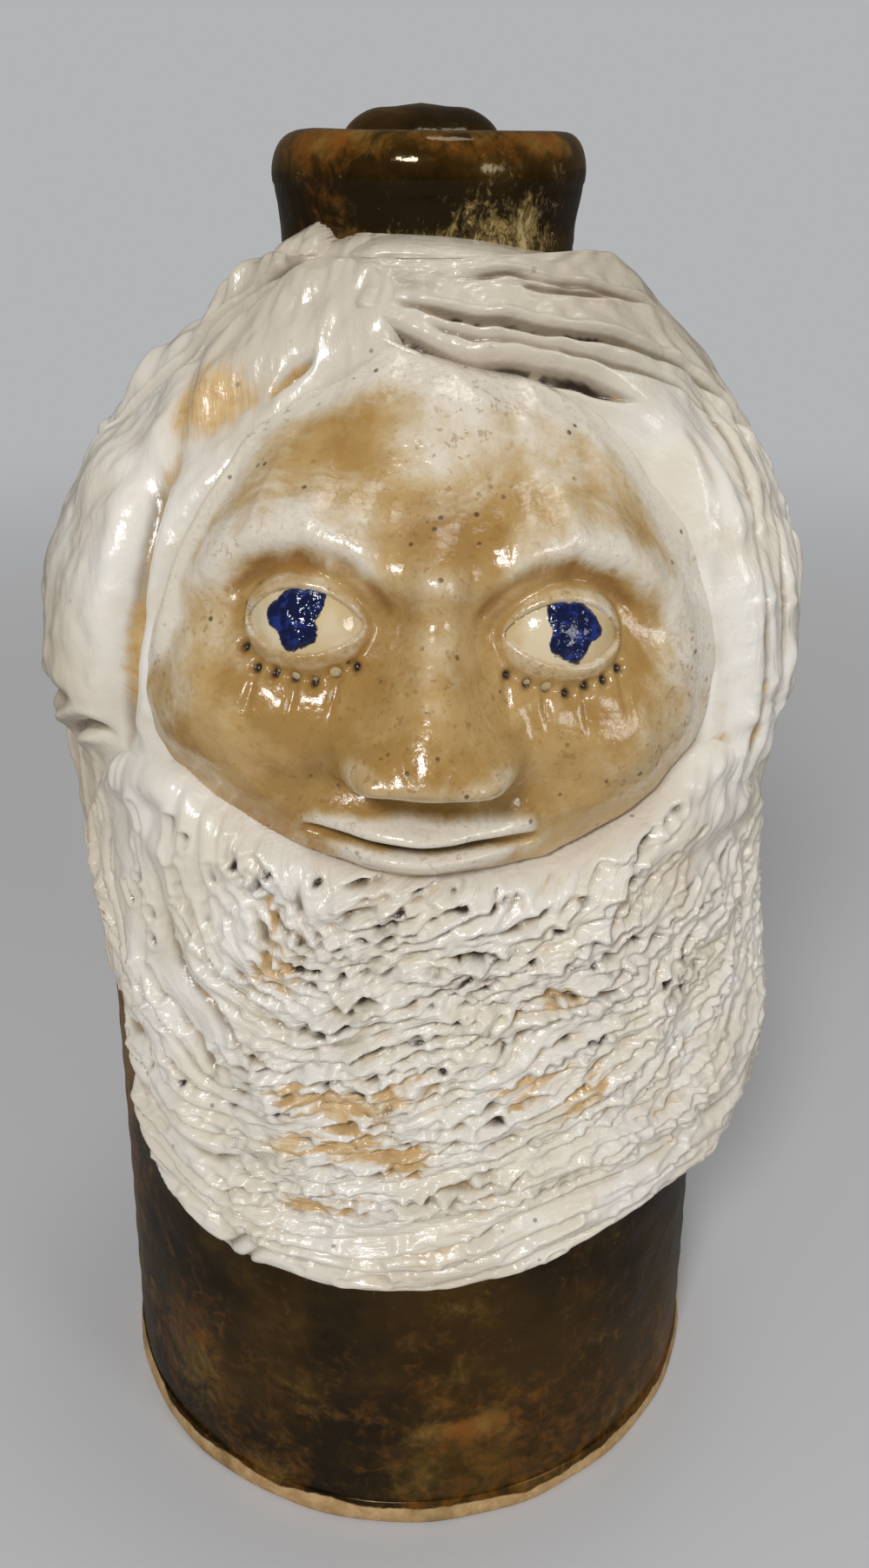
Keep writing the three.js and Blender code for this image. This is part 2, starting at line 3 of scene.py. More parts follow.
import bpy
import numpy as np
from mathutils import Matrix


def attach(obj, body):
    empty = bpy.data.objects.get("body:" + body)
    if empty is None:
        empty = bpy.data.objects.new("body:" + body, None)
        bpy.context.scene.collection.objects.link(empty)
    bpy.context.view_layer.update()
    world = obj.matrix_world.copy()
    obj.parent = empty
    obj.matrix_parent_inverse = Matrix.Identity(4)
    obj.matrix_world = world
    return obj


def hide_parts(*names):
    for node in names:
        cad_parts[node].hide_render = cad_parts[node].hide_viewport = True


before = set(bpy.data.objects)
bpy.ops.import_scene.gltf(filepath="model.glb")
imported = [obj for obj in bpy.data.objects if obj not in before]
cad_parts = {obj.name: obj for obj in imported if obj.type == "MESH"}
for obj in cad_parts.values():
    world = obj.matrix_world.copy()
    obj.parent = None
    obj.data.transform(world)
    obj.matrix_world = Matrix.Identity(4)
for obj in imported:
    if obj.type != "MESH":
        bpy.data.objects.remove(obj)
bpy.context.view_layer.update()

# The jug and its head in millimetres. A spot on the wall is given by its way round the chest from
# the middle of the front, and its height
vessel = {
    "rimHeight": 200,
    "footRadius": 49.8,
    "chestRadius": 48,
    "neckRadius": 19.5,
    "rimRadius": 20.5,
    "boreRadius": 13,
    "slabThickness": 4.5,
    "slabLip": 0.7,
    "wallThickness": 5.5,
    "neckStart": 186,
    "shoulderStart": 132,
    "shoulderSwell": 2.3,
    "shoulderTuck": 1.6,
    "rimRoll": 5,
    "lean": 4,
}
head = {  # the upright face; the tilt in degrees
    "chin": 110,
    "unit": 21,
    "halfWidth": 37,
    "centre": 2,
    "tilt": 3,
    "eyeWidth": 14.8,
    "eyeLine": 146.75,
    "browLine": 152,
    "noseLine": 131,
    "mouthLine": 124,
}


class Wet:  # a socket that can stand in a sum, so that 1 - mask adds its own node
    def __init__(self, tree, socket=None):
        self.tree = tree
        self.socket = socket

    def node(self, kind, settings, sockets, out=""):
        node = self.tree.nodes.new(kind)
        for name, value in settings.items():
            setattr(node, name, value)
        for name, value in sockets.items():
            socket = next(s for s in node.inputs if s.enabled and name in (s.identifier, s.name))
            if isinstance(value, Wet):
                self.tree.links.new(value.socket, socket)
            elif isinstance(value, tuple) and socket.type == "RGBA":
                socket.default_value = (*value, 1)
            else:
                socket.default_value = value
        outputs = (s for s in node.outputs if out in ("", s.identifier))
        return Wet(self.tree, next(outputs, None))

    def maths(self, operation, first, second):
        sockets = {"Value": first, "Value_001": second}
        return self.node("ShaderNodeMath", {"operation": operation}, sockets)

    def __add__(self, other):
        return self.maths("ADD", self, other)

    def __radd__(self, other):
        return self.maths("ADD", other, self)

    def __sub__(self, other):
        return self.maths("SUBTRACT", self, other)

    def __rsub__(self, other):
        return self.maths("SUBTRACT", other, self)

    def __mul__(self, other):
        return self.maths("MULTIPLY", self, other)

    def noise(self, place, scale, detail=3, rough=0.5, warp=0.0):
        return self.node("ShaderNodeTexNoise", {}, {
            "Vector": place, "Scale": scale, "Detail": detail, "Roughness": rough, "Distortion": warp,
        })

    def step(self, value, low, high):  # 0 below low and 1 above high, eased between
        return self.node("ShaderNodeMapRange", {"interpolation_type": "SMOOTHSTEP"}, {
            "Value": value, "From Min": low, "From Max": high,
        })

    def blend(self, share, first, second):
        return self.node("ShaderNodeMix", {"data_type": "RGBA"}, {
            "Factor_Float": share, "A_Color": first, "B_Color": second,
        }, "Result_Color")

    def mark(self, name):  # what the maker's hand left on the piece and where light and shade are painted, kept with its points
        return self.node("ShaderNodeAttribute", {"attribute_name": name}, {}, "Fac")

    def stretched(self, place, amounts):
        sockets = {"Vector": place, "Vector_001": amounts}
        return self.node("ShaderNodeVectorMath", {"operation": "MULTIPLY"}, sockets)

    def lay(self, under, over, share, low, high, most=1.0):  # a glaze over another, where share is high
        return self.blend(self.step(share, low, high) * most, under, over)


def newFinish(name):  # an empty material, its nodes and the place on the piece
    material = bpy.data.materials.new(name)
    material.use_nodes = True
    material.node_tree.nodes.clear()
    wet = Wet(material.node_tree)
    place = wet.node("ShaderNodeTexCoord", {}, {}, "Object")
    return material, wet, place


def finishWith(wet, glaze, colour, rough, height):  # one fired surface from its colour, gloss and height
    bump = wet.node("ShaderNodeBump", {}, {"Height": height, "Distance": glaze["bump"], "Strength": 1.0})
    shader = wet.node("ShaderNodeBsdfPrincipled", {}, {
        "Base Color": colour, "Roughness": rough, "Normal": bump,
        "Coat Weight": glaze.get("coat", 0.0), "Coat Roughness": 0.06,
        "Specular IOR Level": glaze.get("specular", 0.5),
        "Specular Tint": glaze.get("tint", (1.0, 1.0, 1.0)),
    })
    wet.node("ShaderNodeOutputMaterial", {}, {"Surface": shader})


whiteGlaze = {
    "body": (0.75, 0.685, 0.575),
    "cool": (0.80, 0.765, 0.70),
    # painted shade for the top of the head
    "crownShade": (0.47, 0.41, 0.32),
    # a warm tone laid at random, and painted shade in the combed lows
    "warm": (0.60, 0.49, 0.34),
    "tan": (0.64, 0.43, 0.18),
    "rust": (0.53, 0.31, 0.09),
    "shade": (0.22, 0.165, 0.105),
    # painted shade at the bottom of pricks, grooves, notches, nostrils and the mouth line
    "pitShade": (0.035, 0.02, 0.012),
    "rough": 0.18,
    "bump": 0.00044,
    "coat": 0.2,
    "crownShadeHeights": (0.170, 0.205),
}


def makeWhite():  # a creamy tin white that breaks to orange clay where it is thin
    material, wet, place = newFinish("whiteGlaze")
    relief, stain, pitShade, combed = (wet.mark(name) for name in ("relief", "stain", "pitShade", "combed"))
    flow = wet.node("ShaderNodeCombineXYZ", {}, {"X": wet.mark("along"), "Y": wet.mark("across")})
    cloud = wet.noise(place, 60, 3)
    fine = wet.noise(place, 420, 3, 0.6)
    height = wet.node("ShaderNodeSeparateXYZ", {}, {"Vector": place}, "Z")
    strokes = wet.noise(wet.stretched(flow, (0.24, 1.1, 1)), 1.0, 4, 0.6, 0.3)
    drift = wet.noise(place, 30, 3)
    glaze = whiteGlaze
    colour = wet.lay(glaze["body"], glaze["cool"], cloud, 0.38, 0.60)
    colour = wet.lay(colour, glaze["warm"], drift, 0.45, 0.66, 0.6)
    # painted shade: the white is dimmed toward the top of the head
    colour = wet.lay(colour, glaze["crownShade"], height + drift * 0.03, *glaze["crownShadeHeights"], 0.55)
    # painted shade: beige in the lows of the combed strokes and the furrows
    low = wet.step(0.52 - strokes + (0.0 - relief) * 0.16, 0.02, 0.22) * combed
    colour = wet.blend(low * 0.5, colour, glaze["warm"])
    colour = wet.lay(colour, glaze["shade"], 0.0 - relief, 0.2, 1.5, 0.75)  # painted shade, darker in the furrows
    broken = stain + (strokes - 0.5) * (0.4 + combed * 2.2) + (cloud - 0.5) * 0.8 - relief * 0.25
    tan = wet.lay(glaze["tan"], glaze["rust"], fine + strokes, 0.85, 1.2)
    colour = wet.lay(colour, tan, broken, 0.40, 0.90, 0.85)  # bare clay where it breaks
    # painted shade in the pits and grooves
    colour = wet.lay(colour, glaze["pitShade"], pitShade, 0.2, 0.85)
    specks = wet.node("ShaderNodeTexVoronoi", {}, {"Vector": place, "Scale": 230}, "Distance")
    some = wet.step(wet.noise(place, 90, 1), 0.5, 0.6)
    colour = wet.blend(wet.step(0.0 - specks, -0.10, -0.05) * some * 0.7, colour, glaze["shade"])
    rough = glaze["rough"] + wet.step(fine, 0.35, 0.7) * 0.12
    grain = wet.noise(place, 170, 3) + fine * 0.25 + strokes * combed * 1.3
    finishWith(wet, glaze, colour, rough, grain)
    return material


skinGlaze = {
    "honey": (0.36, 0.205, 0.058),
    "ochre": (0.49, 0.325, 0.13),
    "rust": (0.27, 0.125, 0.03),
    "cream": (0.60, 0.48, 0.30),
    "veil": (0.72, 0.66, 0.56),
    "speck": (0.05, 0.025, 0.01),
    "rough": 0.17,
    "bump": 0.0003,
    "coat": 0.28,
}


def makeSkin():  # honey glaze, with a white veil over what stands out
    material, wet, place = newFinish("skinGlaze")
    veil, stain, pitShade, relief = (wet.mark(name) for name in ("veil", "stain", "pitShade", "relief"))
    fine = wet.noise(place, 380, 4, 0.6)
    cloud = wet.noise(place, 75, 4, 0.6)
    glaze = skinGlaze
    colour = wet.lay(glaze["honey"], glaze["ochre"], cloud, 0.38, 0.64)
    burnt = stain + (fine - 0.5) * 0.4 - relief * 0.3
    colour = wet.lay(colour, glaze["rust"], burnt, 0.3, 0.95, 0.75)
    wisps = wet.noise(place, 38, 5, 0.66, 1.4)
    torn = wet.noise(place, 120, 5, 0.7, 0.6)
    ragged = veil + relief * 0.5 + (torn - 0.5) * 1.3 + (wisps - 0.5) * 2.0
    colour = wet.lay(colour, glaze["cream"], ragged, 0.15, 0.75, 0.7)
    colour = wet.lay(colour, glaze["veil"], ragged, 0.50, 1.20, 0.9)
    specks = wet.node("ShaderNodeTexVoronoi", {}, {"Vector": place, "Scale": 400}, "Distance")
    sparse = wet.step(wet.noise(place, 120, 2), 0.50, 0.60)
    colour = wet.blend(wet.step(0.0 - specks, -0.17, -0.09) * sparse * 0.8, colour, glaze["speck"])
    dust = wet.step(wet.noise(place, 900, 2, 0.7), 0.58, 0.68)
    dust = dust * wet.step(wet.noise(place, 60, 2), 0.38, 0.6)
    colour = wet.blend(dust * 0.5, colour, glaze["rust"])
    grain = wet.step(wet.noise(place, 1500, 3, 0.75), 0.47, 0.72)
    grain = grain * wet.step(wet.noise(place, 90, 3), 0.35, 0.65)
    colour = wet.blend(grain * 0.32, colour, glaze["rust"])
    # painted shade in the pricks, the nostrils and the mouth line
    colour = wet.lay(colour, whiteGlaze["pitShade"], pitShade, 0.25, 0.8)
    rough = glaze["rough"] + wet.step(fine, 0.4, 0.7) * 0.14
    bumps = wet.noise(place, 190, 3) + fine * 0.7 + grain * 0.06
    finishWith(wet, glaze, colour, rough, bumps)
    return material


brownGlaze = {
    "deep": (0.009, 0.0045, 0.001),
    "body": (0.041, 0.020, 0.003),
    "amber": (0.19, 0.068, 0.009),
    "straw": (0.205, 0.11, 0.022),
    "olive": (0.095, 0.055, 0.007),
    "cream": (0.52, 0.41, 0.21),
    "moss": (0.23, 0.155, 0.05),
    "clay": (0.52, 0.35, 0.17),
    "clayDark": (0.38, 0.23, 0.10),
    "footLine": 0.0034,
    "collarStart": (0.1885, 0.191),
    "collarEnd": (0.196, 0.1995),
    "rough": 0.27,
    "bump": 0.00045,
    "specular": 0.4,
    "tint": (1.0, 0.82, 0.56),
}


def makeBrown():  # thick ash brown with amber runs, wiped off above the foot
    material, wet, place = newFinish("brownGlaze")
    amber, cream = wet.mark("amber"), wet.mark("cream")
    height = wet.node("ShaderNodeSeparateXYZ", {}, {"Vector": place}, "Z")
    runs = wet.noise(wet.stretched(place, (1, 1, 0.7)), 52, 6, 0.68, 0.7)
    cloud = wet.noise(place, 30, 5, 0.62)
    fine = wet.noise(place, 330, 4, 0.65)
    glaze = brownGlaze
    colour = wet.lay(glaze["deep"], glaze["body"], cloud, 0.36, 0.62)
    colour = wet.lay(colour, glaze["olive"], wet.noise(place, 60, 5, 0.7), 0.50, 0.76, 0.7)
    scaly = wet.noise(place, 230, 4, 0.7, 1.5)
    collar = wet.step(height + scaly * 0.003, *glaze["collarStart"])
    collar = collar - wet.step(height + scaly * 0.005, *glaze["collarEnd"])
    colour = wet.blend(collar * 0.9, colour, glaze["deep"])
    ragged = runs + (cloud - 0.5) * 0.4 + (scaly - 0.5) * 0.9 + (fine - 0.5) * 0.5 + amber * 0.42
    warm = wet.lay(glaze["amber"], glaze["straw"], wet.noise(place, 95, 3), 0.48, 0.62)
    colour = wet.lay(colour, warm, ragged, 0.54, 1.16)
    broken = wet.noise(wet.stretched(place, (1, 1, 0.6)), 900, 5, 0.8, 1.2)
    thin = cream + (broken - 0.5) * 2.6 + (scaly - 0.5) * 1.8
    crystal = wet.step(thin, 0.40, 0.85)
    colour = wet.blend(crystal * 0.8, colour, glaze["moss"])
    colour = wet.lay(colour, glaze["cream"], thin, 0.80, 1.30, 0.85)
    line = glaze["footLine"]
    edge = height + wet.noise(place, 60, 4, 0.6) * 0.0045 - 0.00225  # wavy by a few millimetres
    bare = wet.step(0.0 - edge, 0.0 - line - 0.0002, 0.0002 - line)
    clay = wet.lay(glaze["clay"], glaze["clayDark"], fine, 0.35, 0.65)
    clay = wet.lay(clay, glaze["olive"], wet.noise(place, 80, 3), 0.5, 0.75, 0.6)
    colour = wet.blend(bare, colour, clay)
    rough = glaze["rough"] - wet.step(height, 0.13, 0.18) * 0.19  # glossier up at the rim
    rough = rough + wet.step(fine, 0.45, 0.75) * 0.06 + bare * 0.55
    grain = wet.noise(place, 110, 3) * (1 - bare) + fine * (0.12 + bare * 1.2) + crystal * 0.25
    finishWith(wet, glaze, colour, rough, grain)
    return material


eyeGlaze = {
    "cream": (0.60, 0.46, 0.25),
    "pale": (0.67, 0.57, 0.39),
    "cobalt": (0.004, 0.008, 0.045),
    "blue": (0.012, 0.030, 0.17),
    "rough": 0.12,
    "bump": 0.0003,
    "coat": 0.4,
}


def makeEye():  # cream, with a dab of cobalt
    material, wet, place = newFinish("eyeGlaze")
    iris = wet.mark("iris")
    fine = wet.noise(place, 600, 3, 0.6)
    glaze = eyeGlaze
    colour = wet.lay(glaze["cream"], glaze["pale"], wet.noise(place, 160, 2), 0.4, 0.6)
    dab = wet.step(iris + wet.noise(place, 700, 3, 0.7) * 0.5 - 0.25, 0.46, 0.54)
    colour = wet.blend(dab, colour, wet.lay(glaze["cobalt"], glaze["blue"], fine, 0.5, 0.62))
    finishWith(wet, glaze, colour, glaze["rough"], fine * (0.3 + dab))
    return material


backdrop = {  # what the camera sees, and the darker table that the glazes mirror
    "floor": (0.62, 0.62, 0.63),
    "floorDark": (0.59, 0.59, 0.60),
    "far": (0.45, 0.455, 0.465),
    "mirrored": (0.10, 0.088, 0.070),
    "from": 0.15,
    "to": 0.85,
    "size": 30,
    "grime": 0.2,
    "mirrorShare": 0.8,
}


def makeFloor():  # pale, and fading into the backdrop so that no horizon shows
    material, wet, place = newFinish("paleFloor")
    far = wet.node("ShaderNodeVectorMath", {"operation": "LENGTH"}, {"Vector": place}, "Value")
    seen = wet.node("ShaderNodeLightPath", {}, {}, "Is Camera Ray")
    mirrored = wet.node("ShaderNodeLightPath", {}, {}, "Is Glossy Ray")
    uneven = wet.noise(place, 9, 2) * backdrop["grime"]
    shade = wet.blend(uneven, backdrop["floor"], backdrop["floorDark"])
    shade = wet.blend(mirrored * backdrop["mirrorShare"], shade, backdrop["mirrored"])
    near = wet.node("ShaderNodeBsdfPrincipled", {}, {"Base Color": shade, "Roughness": 0.55})
    glow = wet.node("ShaderNodeEmission", {}, {"Color": backdrop["far"], "Strength": 1.0})
    share = wet.step(far, backdrop["from"], backdrop["to"]) * seen
    both = wet.node("ShaderNodeMixShader", {}, {"Fac": share, "Shader": near, "Shader_001": glow})
    wet.node("ShaderNodeOutputMaterial", {}, {"Surface": both})
    return material


finishes = {
    "white": makeWhite(),
    "skin": makeSkin(),
    "brown": makeBrown(),
    "eye": makeEye(),
}
print("finishes mixed")


def wallRadius(z):  # straight up to the shoulder, then rounded in to the neck
    foot, chest, neck = (vessel[name] for name in ("footRadius", "chestRadius", "neckRadius"))
    start = vessel["shoulderStart"]
    climb = held((z - start) / (vessel["neckStart"] - start))
    curl = (1 - climb ** vessel["shoulderSwell"]) ** vessel["shoulderTuck"]
    return np.where(z <= start, foot + (chest - foot) * z / start, neck + (chest - neck) * curl)


def leanAt(z):  # how far the thrown wall leans to the right at a height
    return vessel["lean"] * (np.maximum(0, z) / vessel["rimHeight"]) ** 1.5


def onWall(across, z, out):  # millimetres on the wall to a point in metres, out square to the wall
    slope = wallRadius(z + 0.5) - wallRadius(z - 0.5)
    square = 1 / np.hypot(1, slope)
    radius = wallRadius(z) + out * square
    angle = across / vessel["chestRadius"]
    spot = (leanAt(z) + radius * np.sin(angle), -radius * np.cos(angle), z - out * slope * square)
    return np.stack(spot, -1) / 1000


def held(value):  # kept between 0 and 1
    return np.clip(value, 0, 1)


def ease(value, low, high):  # 0 below low and 1 above high, eased between
    share = held((value - low) / (high - low))
    return share * share * (3 - 2 * share)


def plateau(x, half, power):  # 1 in the middle and 0 past half a width
    return held(1 - (np.abs(x) / half) ** power)


def bell(far, width):  # 1 at the middle, falling off softly over width
    return np.exp(-(far / width) ** 2)


def hump(x, y, cx, cy, sx, sy, turn=0):  # a soft bump of 1 at its middle
    c, s = math.cos(math.radians(turn)), math.sin(math.radians(turn))
    dx, dy = (x - cx) * c + (y - cy) * s, (y - cy) * c - (x - cx) * s
    return np.exp(-(dx / sx) ** 2 - (dy / sy) ** 2)


def patches(x, y, rows, turn=0, onto=0):  # humps added up: middle, half sizes and strength
    for cx, cy, sx, sy, strength in rows:
        onto = onto + strength * hump(x, y, cx, cy, sx, sy, turn)
    return onto


def mottle(x, y, size, seed):  # soft random lumps from -1 to 1, about size across
    grid = np.random.default_rng(seed).random((64, 64)) * 2 - 1
    gx, gy = np.asarray(x) / size + 900, np.asarray(y) / size + 900
    ix, iy = np.floor(gx).astype(int), np.floor(gy).astype(int)
    fx, fy = ease(gx - ix, 0, 1), ease(gy - iy, 0, 1)

    def corner(dx, dy):
        return grid[(iy + dy) % 64, (ix + dx) % 64]

    low = corner(0, 0) * (1 - fx) + corner(1, 0) * fx
    high = corner(0, 1) * (1 - fx) + corner(1, 1) * fx
    return low * (1 - fy) + high * fy


def through(points, count, closed=False):  # a smooth line through points, evenly spaced
    p = np.array(points, float)
    if closed:
        p = np.vstack([p[-1], p, p[0], p[1]])
    else:
        p = np.vstack([2 * p[0] - p[1], p, 2 * p[-1] - p[-2]])
    fine = []
    t = np.linspace(0, 1, 24, endpoint=False)[:, None]
    for a, b, c, d in zip(p, p[1:], p[2:], p[3:]):
        curve = 2 * b + (c - a) * t + (2 * a - 5 * b + 4 * c - d) * t ** 2
        fine.append(0.5 * (curve + (3 * b - a - 3 * c + d) * t ** 3))
    fine = np.vstack(fine + [p[-2:-1]])
    run = np.concatenate([[0], np.cumsum(np.hypot(*np.diff(fine, axis=0).T))])
    want = np.linspace(0, run[-1], count)
    return np.stack([np.interp(want, run, fine[:, 0]), np.interp(want, run, fine[:, 1])], 1)


def onHead(rows):  # half face widths and head units to millimetres
    return [(aside * head["halfWidth"], head["chin"] + level * head["unit"]) for aside, level in rows]


def nearLine(x, y, line):  # the distance to a line, the share of the line gone there, and the side
    flat = np.stack([x.ravel(), y.ravel()], 1)
    best = np.full(len(flat), 1e9)
    share = np.zeros(len(flat))
    side = np.zeros(len(flat))
    for i, (a, b) in enumerate(zip(line, line[1:])):
        way = b - a
        t = held(((flat - a) @ way) / (way @ way))
        gone = flat - a - t[:, None] * way
        d = np.hypot(gone[:, 0], gone[:, 1])
        closer = d < best
        best[closer] = d[closer]
        share[closer] = ((i + t) / (len(line) - 1))[closer]
        side[closer] = np.sign(way[0] * gone[:, 1] - way[1] * gone[:, 0])[closer]
    return best.reshape(x.shape), share.reshape(x.shape), side.reshape(x.shape)


def insideOf(x, y, line):  # distance to a closed line, above 0 inside it
    far, _, _ = nearLine(x, y, line)
    within = np.zeros(x.shape, bool)
    for (ax, ay), (bx, by) in zip(line, np.roll(line, -1, 0)):
        if ay == by:
            continue
        crosses = (ay > y) != (by > y)
        within ^= crosses & (x < (bx - ax) * (y - ay) / (by - ay) + ax)
    return np.where(within, far, -far)


def started(name, add, **sizes):  # a primitive at the origin under its own name
    bpy.ops.object.select_all(action="DESELECT")
    add(location=(0, 0, 0), **sizes)
    piece = bpy.context.object
    piece.name = piece.data.name = name
    return piece


slabs = {
    "backCells": (24, 16),
    "apart": 0.05,
    "bedding": -2.4,  # how deep the back lies under the wall's skin
    "tuck": -1.2,  # how deep the face goes down outside its edge
}


def rolledSlab(name, low, high, columns, rows):  # a slab of clay: a fine face and a coarse back
    add = bpy.ops.mesh.primitive_grid_add
    slab = started(name, add, x_subdivisions=columns, y_subdivisions=rows, size=1)
    bpy.ops.object.mode_set(mode="EDIT")
    bpy.ops.mesh.select_all(action="DESELECT")
    across, up = slabs["backCells"]
    add(x_subdivisions=across, y_subdivisions=up, size=1, location=(0, 0, -slabs["apart"]))
    bpy.ops.mesh.select_mode(type="EDGE")
    bpy.ops.mesh.select_all(action="DESELECT")
    bpy.ops.mesh.select_non_manifold()
    bpy.ops.mesh.bridge_edge_loops()
    bpy.ops.mesh.select_mode(type="VERT")
    bpy.ops.object.mode_set(mode="OBJECT")
    spots = spotsOf(slab)
    count = (columns + 1) * (rows + 1)
    front = spots[:, 2] > -slabs["apart"] / 2
    assert front[:count].all() and not front[count:].any()
    flat = low + (spots[:, :2] + 0.5) * (np.array(high) - low)
    return slab, flat[:count].reshape(rows + 1, columns + 1, 2).transpose(2, 0, 1), flat[count:].T


def chartSlab(name, low, high, spacing):  # a slab over a part of the chart, in even squares
    low, high = np.array(low), np.array(high)
    return rolledSlab(name, low, high, *[int(v) for v in (high - low) / spacing])


def spotsOf(piece):  # where every point of a piece is
    spots = np.empty(len(piece.data.vertices) * 3)
    piece.data.vertices.foreach_get("co", spots)
    return spots.reshape(-1, 3)


def moveTo(piece, spots, marks):  # the new place of every point, what the hand left on it and where light and shade are painted
    piece.data.vertices.foreach_set("co", spots.ravel())
    for name, values in marks.items():
        mark = piece.data.attributes.new(name, "FLOAT", "POINT")
        mark.data.foreach_set("value", values.astype(np.float32))
    piece.data.update()


def laySlab(slab, face, back, marks, finish, nodes):  # bends a slab round the wall
    front = onWall(*face).reshape(-1, 3)
    under = onWall(*back, slabs["bedding"])
    plain = np.zeros(len(under))
    marks = {name: np.concatenate([values.ravel(), plain]) for name, values in marks.items()}
    moveTo(slab, np.concatenate([front, under]), marks)
    keep(slab, finish, nodes)


def keep(piece, finish, nodes):  # gives a piece its finish and its place in the frame
    bpy.ops.object.select_all(action="DESELECT")
    bpy.context.view_layer.objects.active = piece
    piece.select_set(True)
    bpy.ops.object.mode_set(mode="EDIT")
    bpy.ops.mesh.select_all(action="SELECT")
    bpy.ops.mesh.normals_make_consistent(inside=False)
    bpy.ops.object.mode_set(mode="OBJECT")
    bpy.ops.object.shade_smooth()
    piece.data.materials.clear()
    piece.data.materials.append(finishes[finish])
    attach(piece, "root")
    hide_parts(*nodes)
    print(piece.name, "made,", len(piece.data.polygons), "faces")


beard = {
    "outline": [  # half face widths and head units
        (-1.06, 0.84), (-0.84, 0.92), (-0.61, 0.74), (-0.41, 0.58), (-0.18, 0.46), (0.09, 0.42),
        (0.36, 0.40), (0.59, 0.48), (0.82, 0.65), (1.04, 0.86), (1.36, 0.80), (1.81, 0.5),
        (2.13, -0.1), (2.15, -1.24),
        (1.95, -2.1), (1.54, -2.45), (1.09, -2.5), (0.66, -2.6), (0.27, -2.79), (0, -2.83), (-0.34, -2.81),
        (-0.66, -2.7), (-0.93, -2.42), (-1.13, -1.9), (-1.22, -1.29), (-1.36, -0.57), (-1.5, 0.1),
        (-1.34, 0.57),
    ],
    "thickness": 7.5,
    "rib": 1.1,
    "ribs": 4,
    "grain": [  # one comb stroke, down the left, round and up to the right; the others run beside it
        (-38, 152), (-37, 126), (-34, 107), (-27, 93), (-14, 88), (4, 93), (22, 102), (38, 113), (51, 127),
        (60, 150),
    ],
    "tries": 6000,
    "dashes": 820,
    "dashLength": (1.5, 5.5),
    "dashWidth": (0.4, 0.6),
    "dashDepth": (0.5, 1.1),
    "holes": 300,
    "holeLength": (0.2, 2.2),
    "holeWidth": (0.36, 0.52),
    "spacing": 0.36,
    "margin": 2.5,
    "seed": 7,
    "tan": [  # where the clay shows: across, height, half sizes and strength
        (-5.5, 86, 9, 3.6, 1.0), (-6, 79.5, 4.5, 3, 0.9), (0, 77, 3.6, 2.6, 1.0), (-13, 87, 3, 2.5, 0.6),
        (-13.5, 78.5, 3, 1.6, 0.8), (17, 99.5, 6, 2.4, 0.9), (13, 87, 4, 2.6, 0.62),
        (24, 85.5, 5, 2.4, 0.62), (18, 82, 4, 1.8, 0.4), (-12, 68.6, 3.4, 1.5, 0.95),
        (13.7, 63.6, 3, 1.4, 0.7), (2.6, 61.5, 4, 1.2, 0.7), (-13.7, 105, 3.4, 5, 0.5),
        (-26, 92, 2, 4, 0.4), (-18, 112, 5, 3, 0.4), (32, 74, 8, 3, 0.3),
    ],
    "tanTurn": 14,  # degrees that the patches lean
}


def beardFlow(a, z):  # millimetres along the strands, and across them outwards
    far, share, side = nearLine(a, z, through(beard["grain"], 70))
    within = ease(far * side, 0, 9)
    return share * 190 * (1 - within) + (a + 85) * within, far * -side


def ridged(phase):  # round strands from 0 to 1 with narrow furrows between them
    t = np.abs(2 * (phase - np.floor(phase)) - 1)
    return 1 - t ** 3


def spokeShare(a, z, line):  # how far each spot lies from the middle out to the outline
    middle = line.mean(0)
    turn, reach = np.arctan2(*(line - middle).T[::-1]), np.hypot(*(line - middle).T)
    order = np.argsort(turn)
    da, dz = a - middle[0], z - middle[1]
    found = np.interp(np.arctan2(dz, da), turn[order], reach[order], period=2 * math.pi)
    return np.hypot(da, dz) / found


def pressed(field, a, z, low, spot, turn, length, width, depth, lip):  # one stroke of a pointed tool
    rows, columns = a.shape
    step = beard["spacing"]
    reach = length + 3 * width + 1
    c0, c1 = [int(np.clip((v - low[0]) / step, 0, columns)) for v in (spot[0] - reach, spot[0] + reach)]
    r0, r1 = [int(np.clip((v - low[1]) / step, 0, rows)) for v in (spot[1] - reach, spot[1] + reach)]
    da, dz = a[r0:r1, c0:c1] - spot[0], z[r0:r1, c0:c1] - spot[1]
    c, s = math.cos(turn), math.sin(turn)
    gone = da * c + dz * s
    t = held(gone / length)
    far = np.hypot(gone - t * length, dz * c - da * s)
    groove = bell(far, width) * (0.35 + 0.65 * t)
    raised = bell(far - 2 * width, 0.9 * width) * lip
    field[r0:r1, c0:c1] += depth * (raised - groove)
    return (slice(r0, r1), slice(c0, c1)), groove


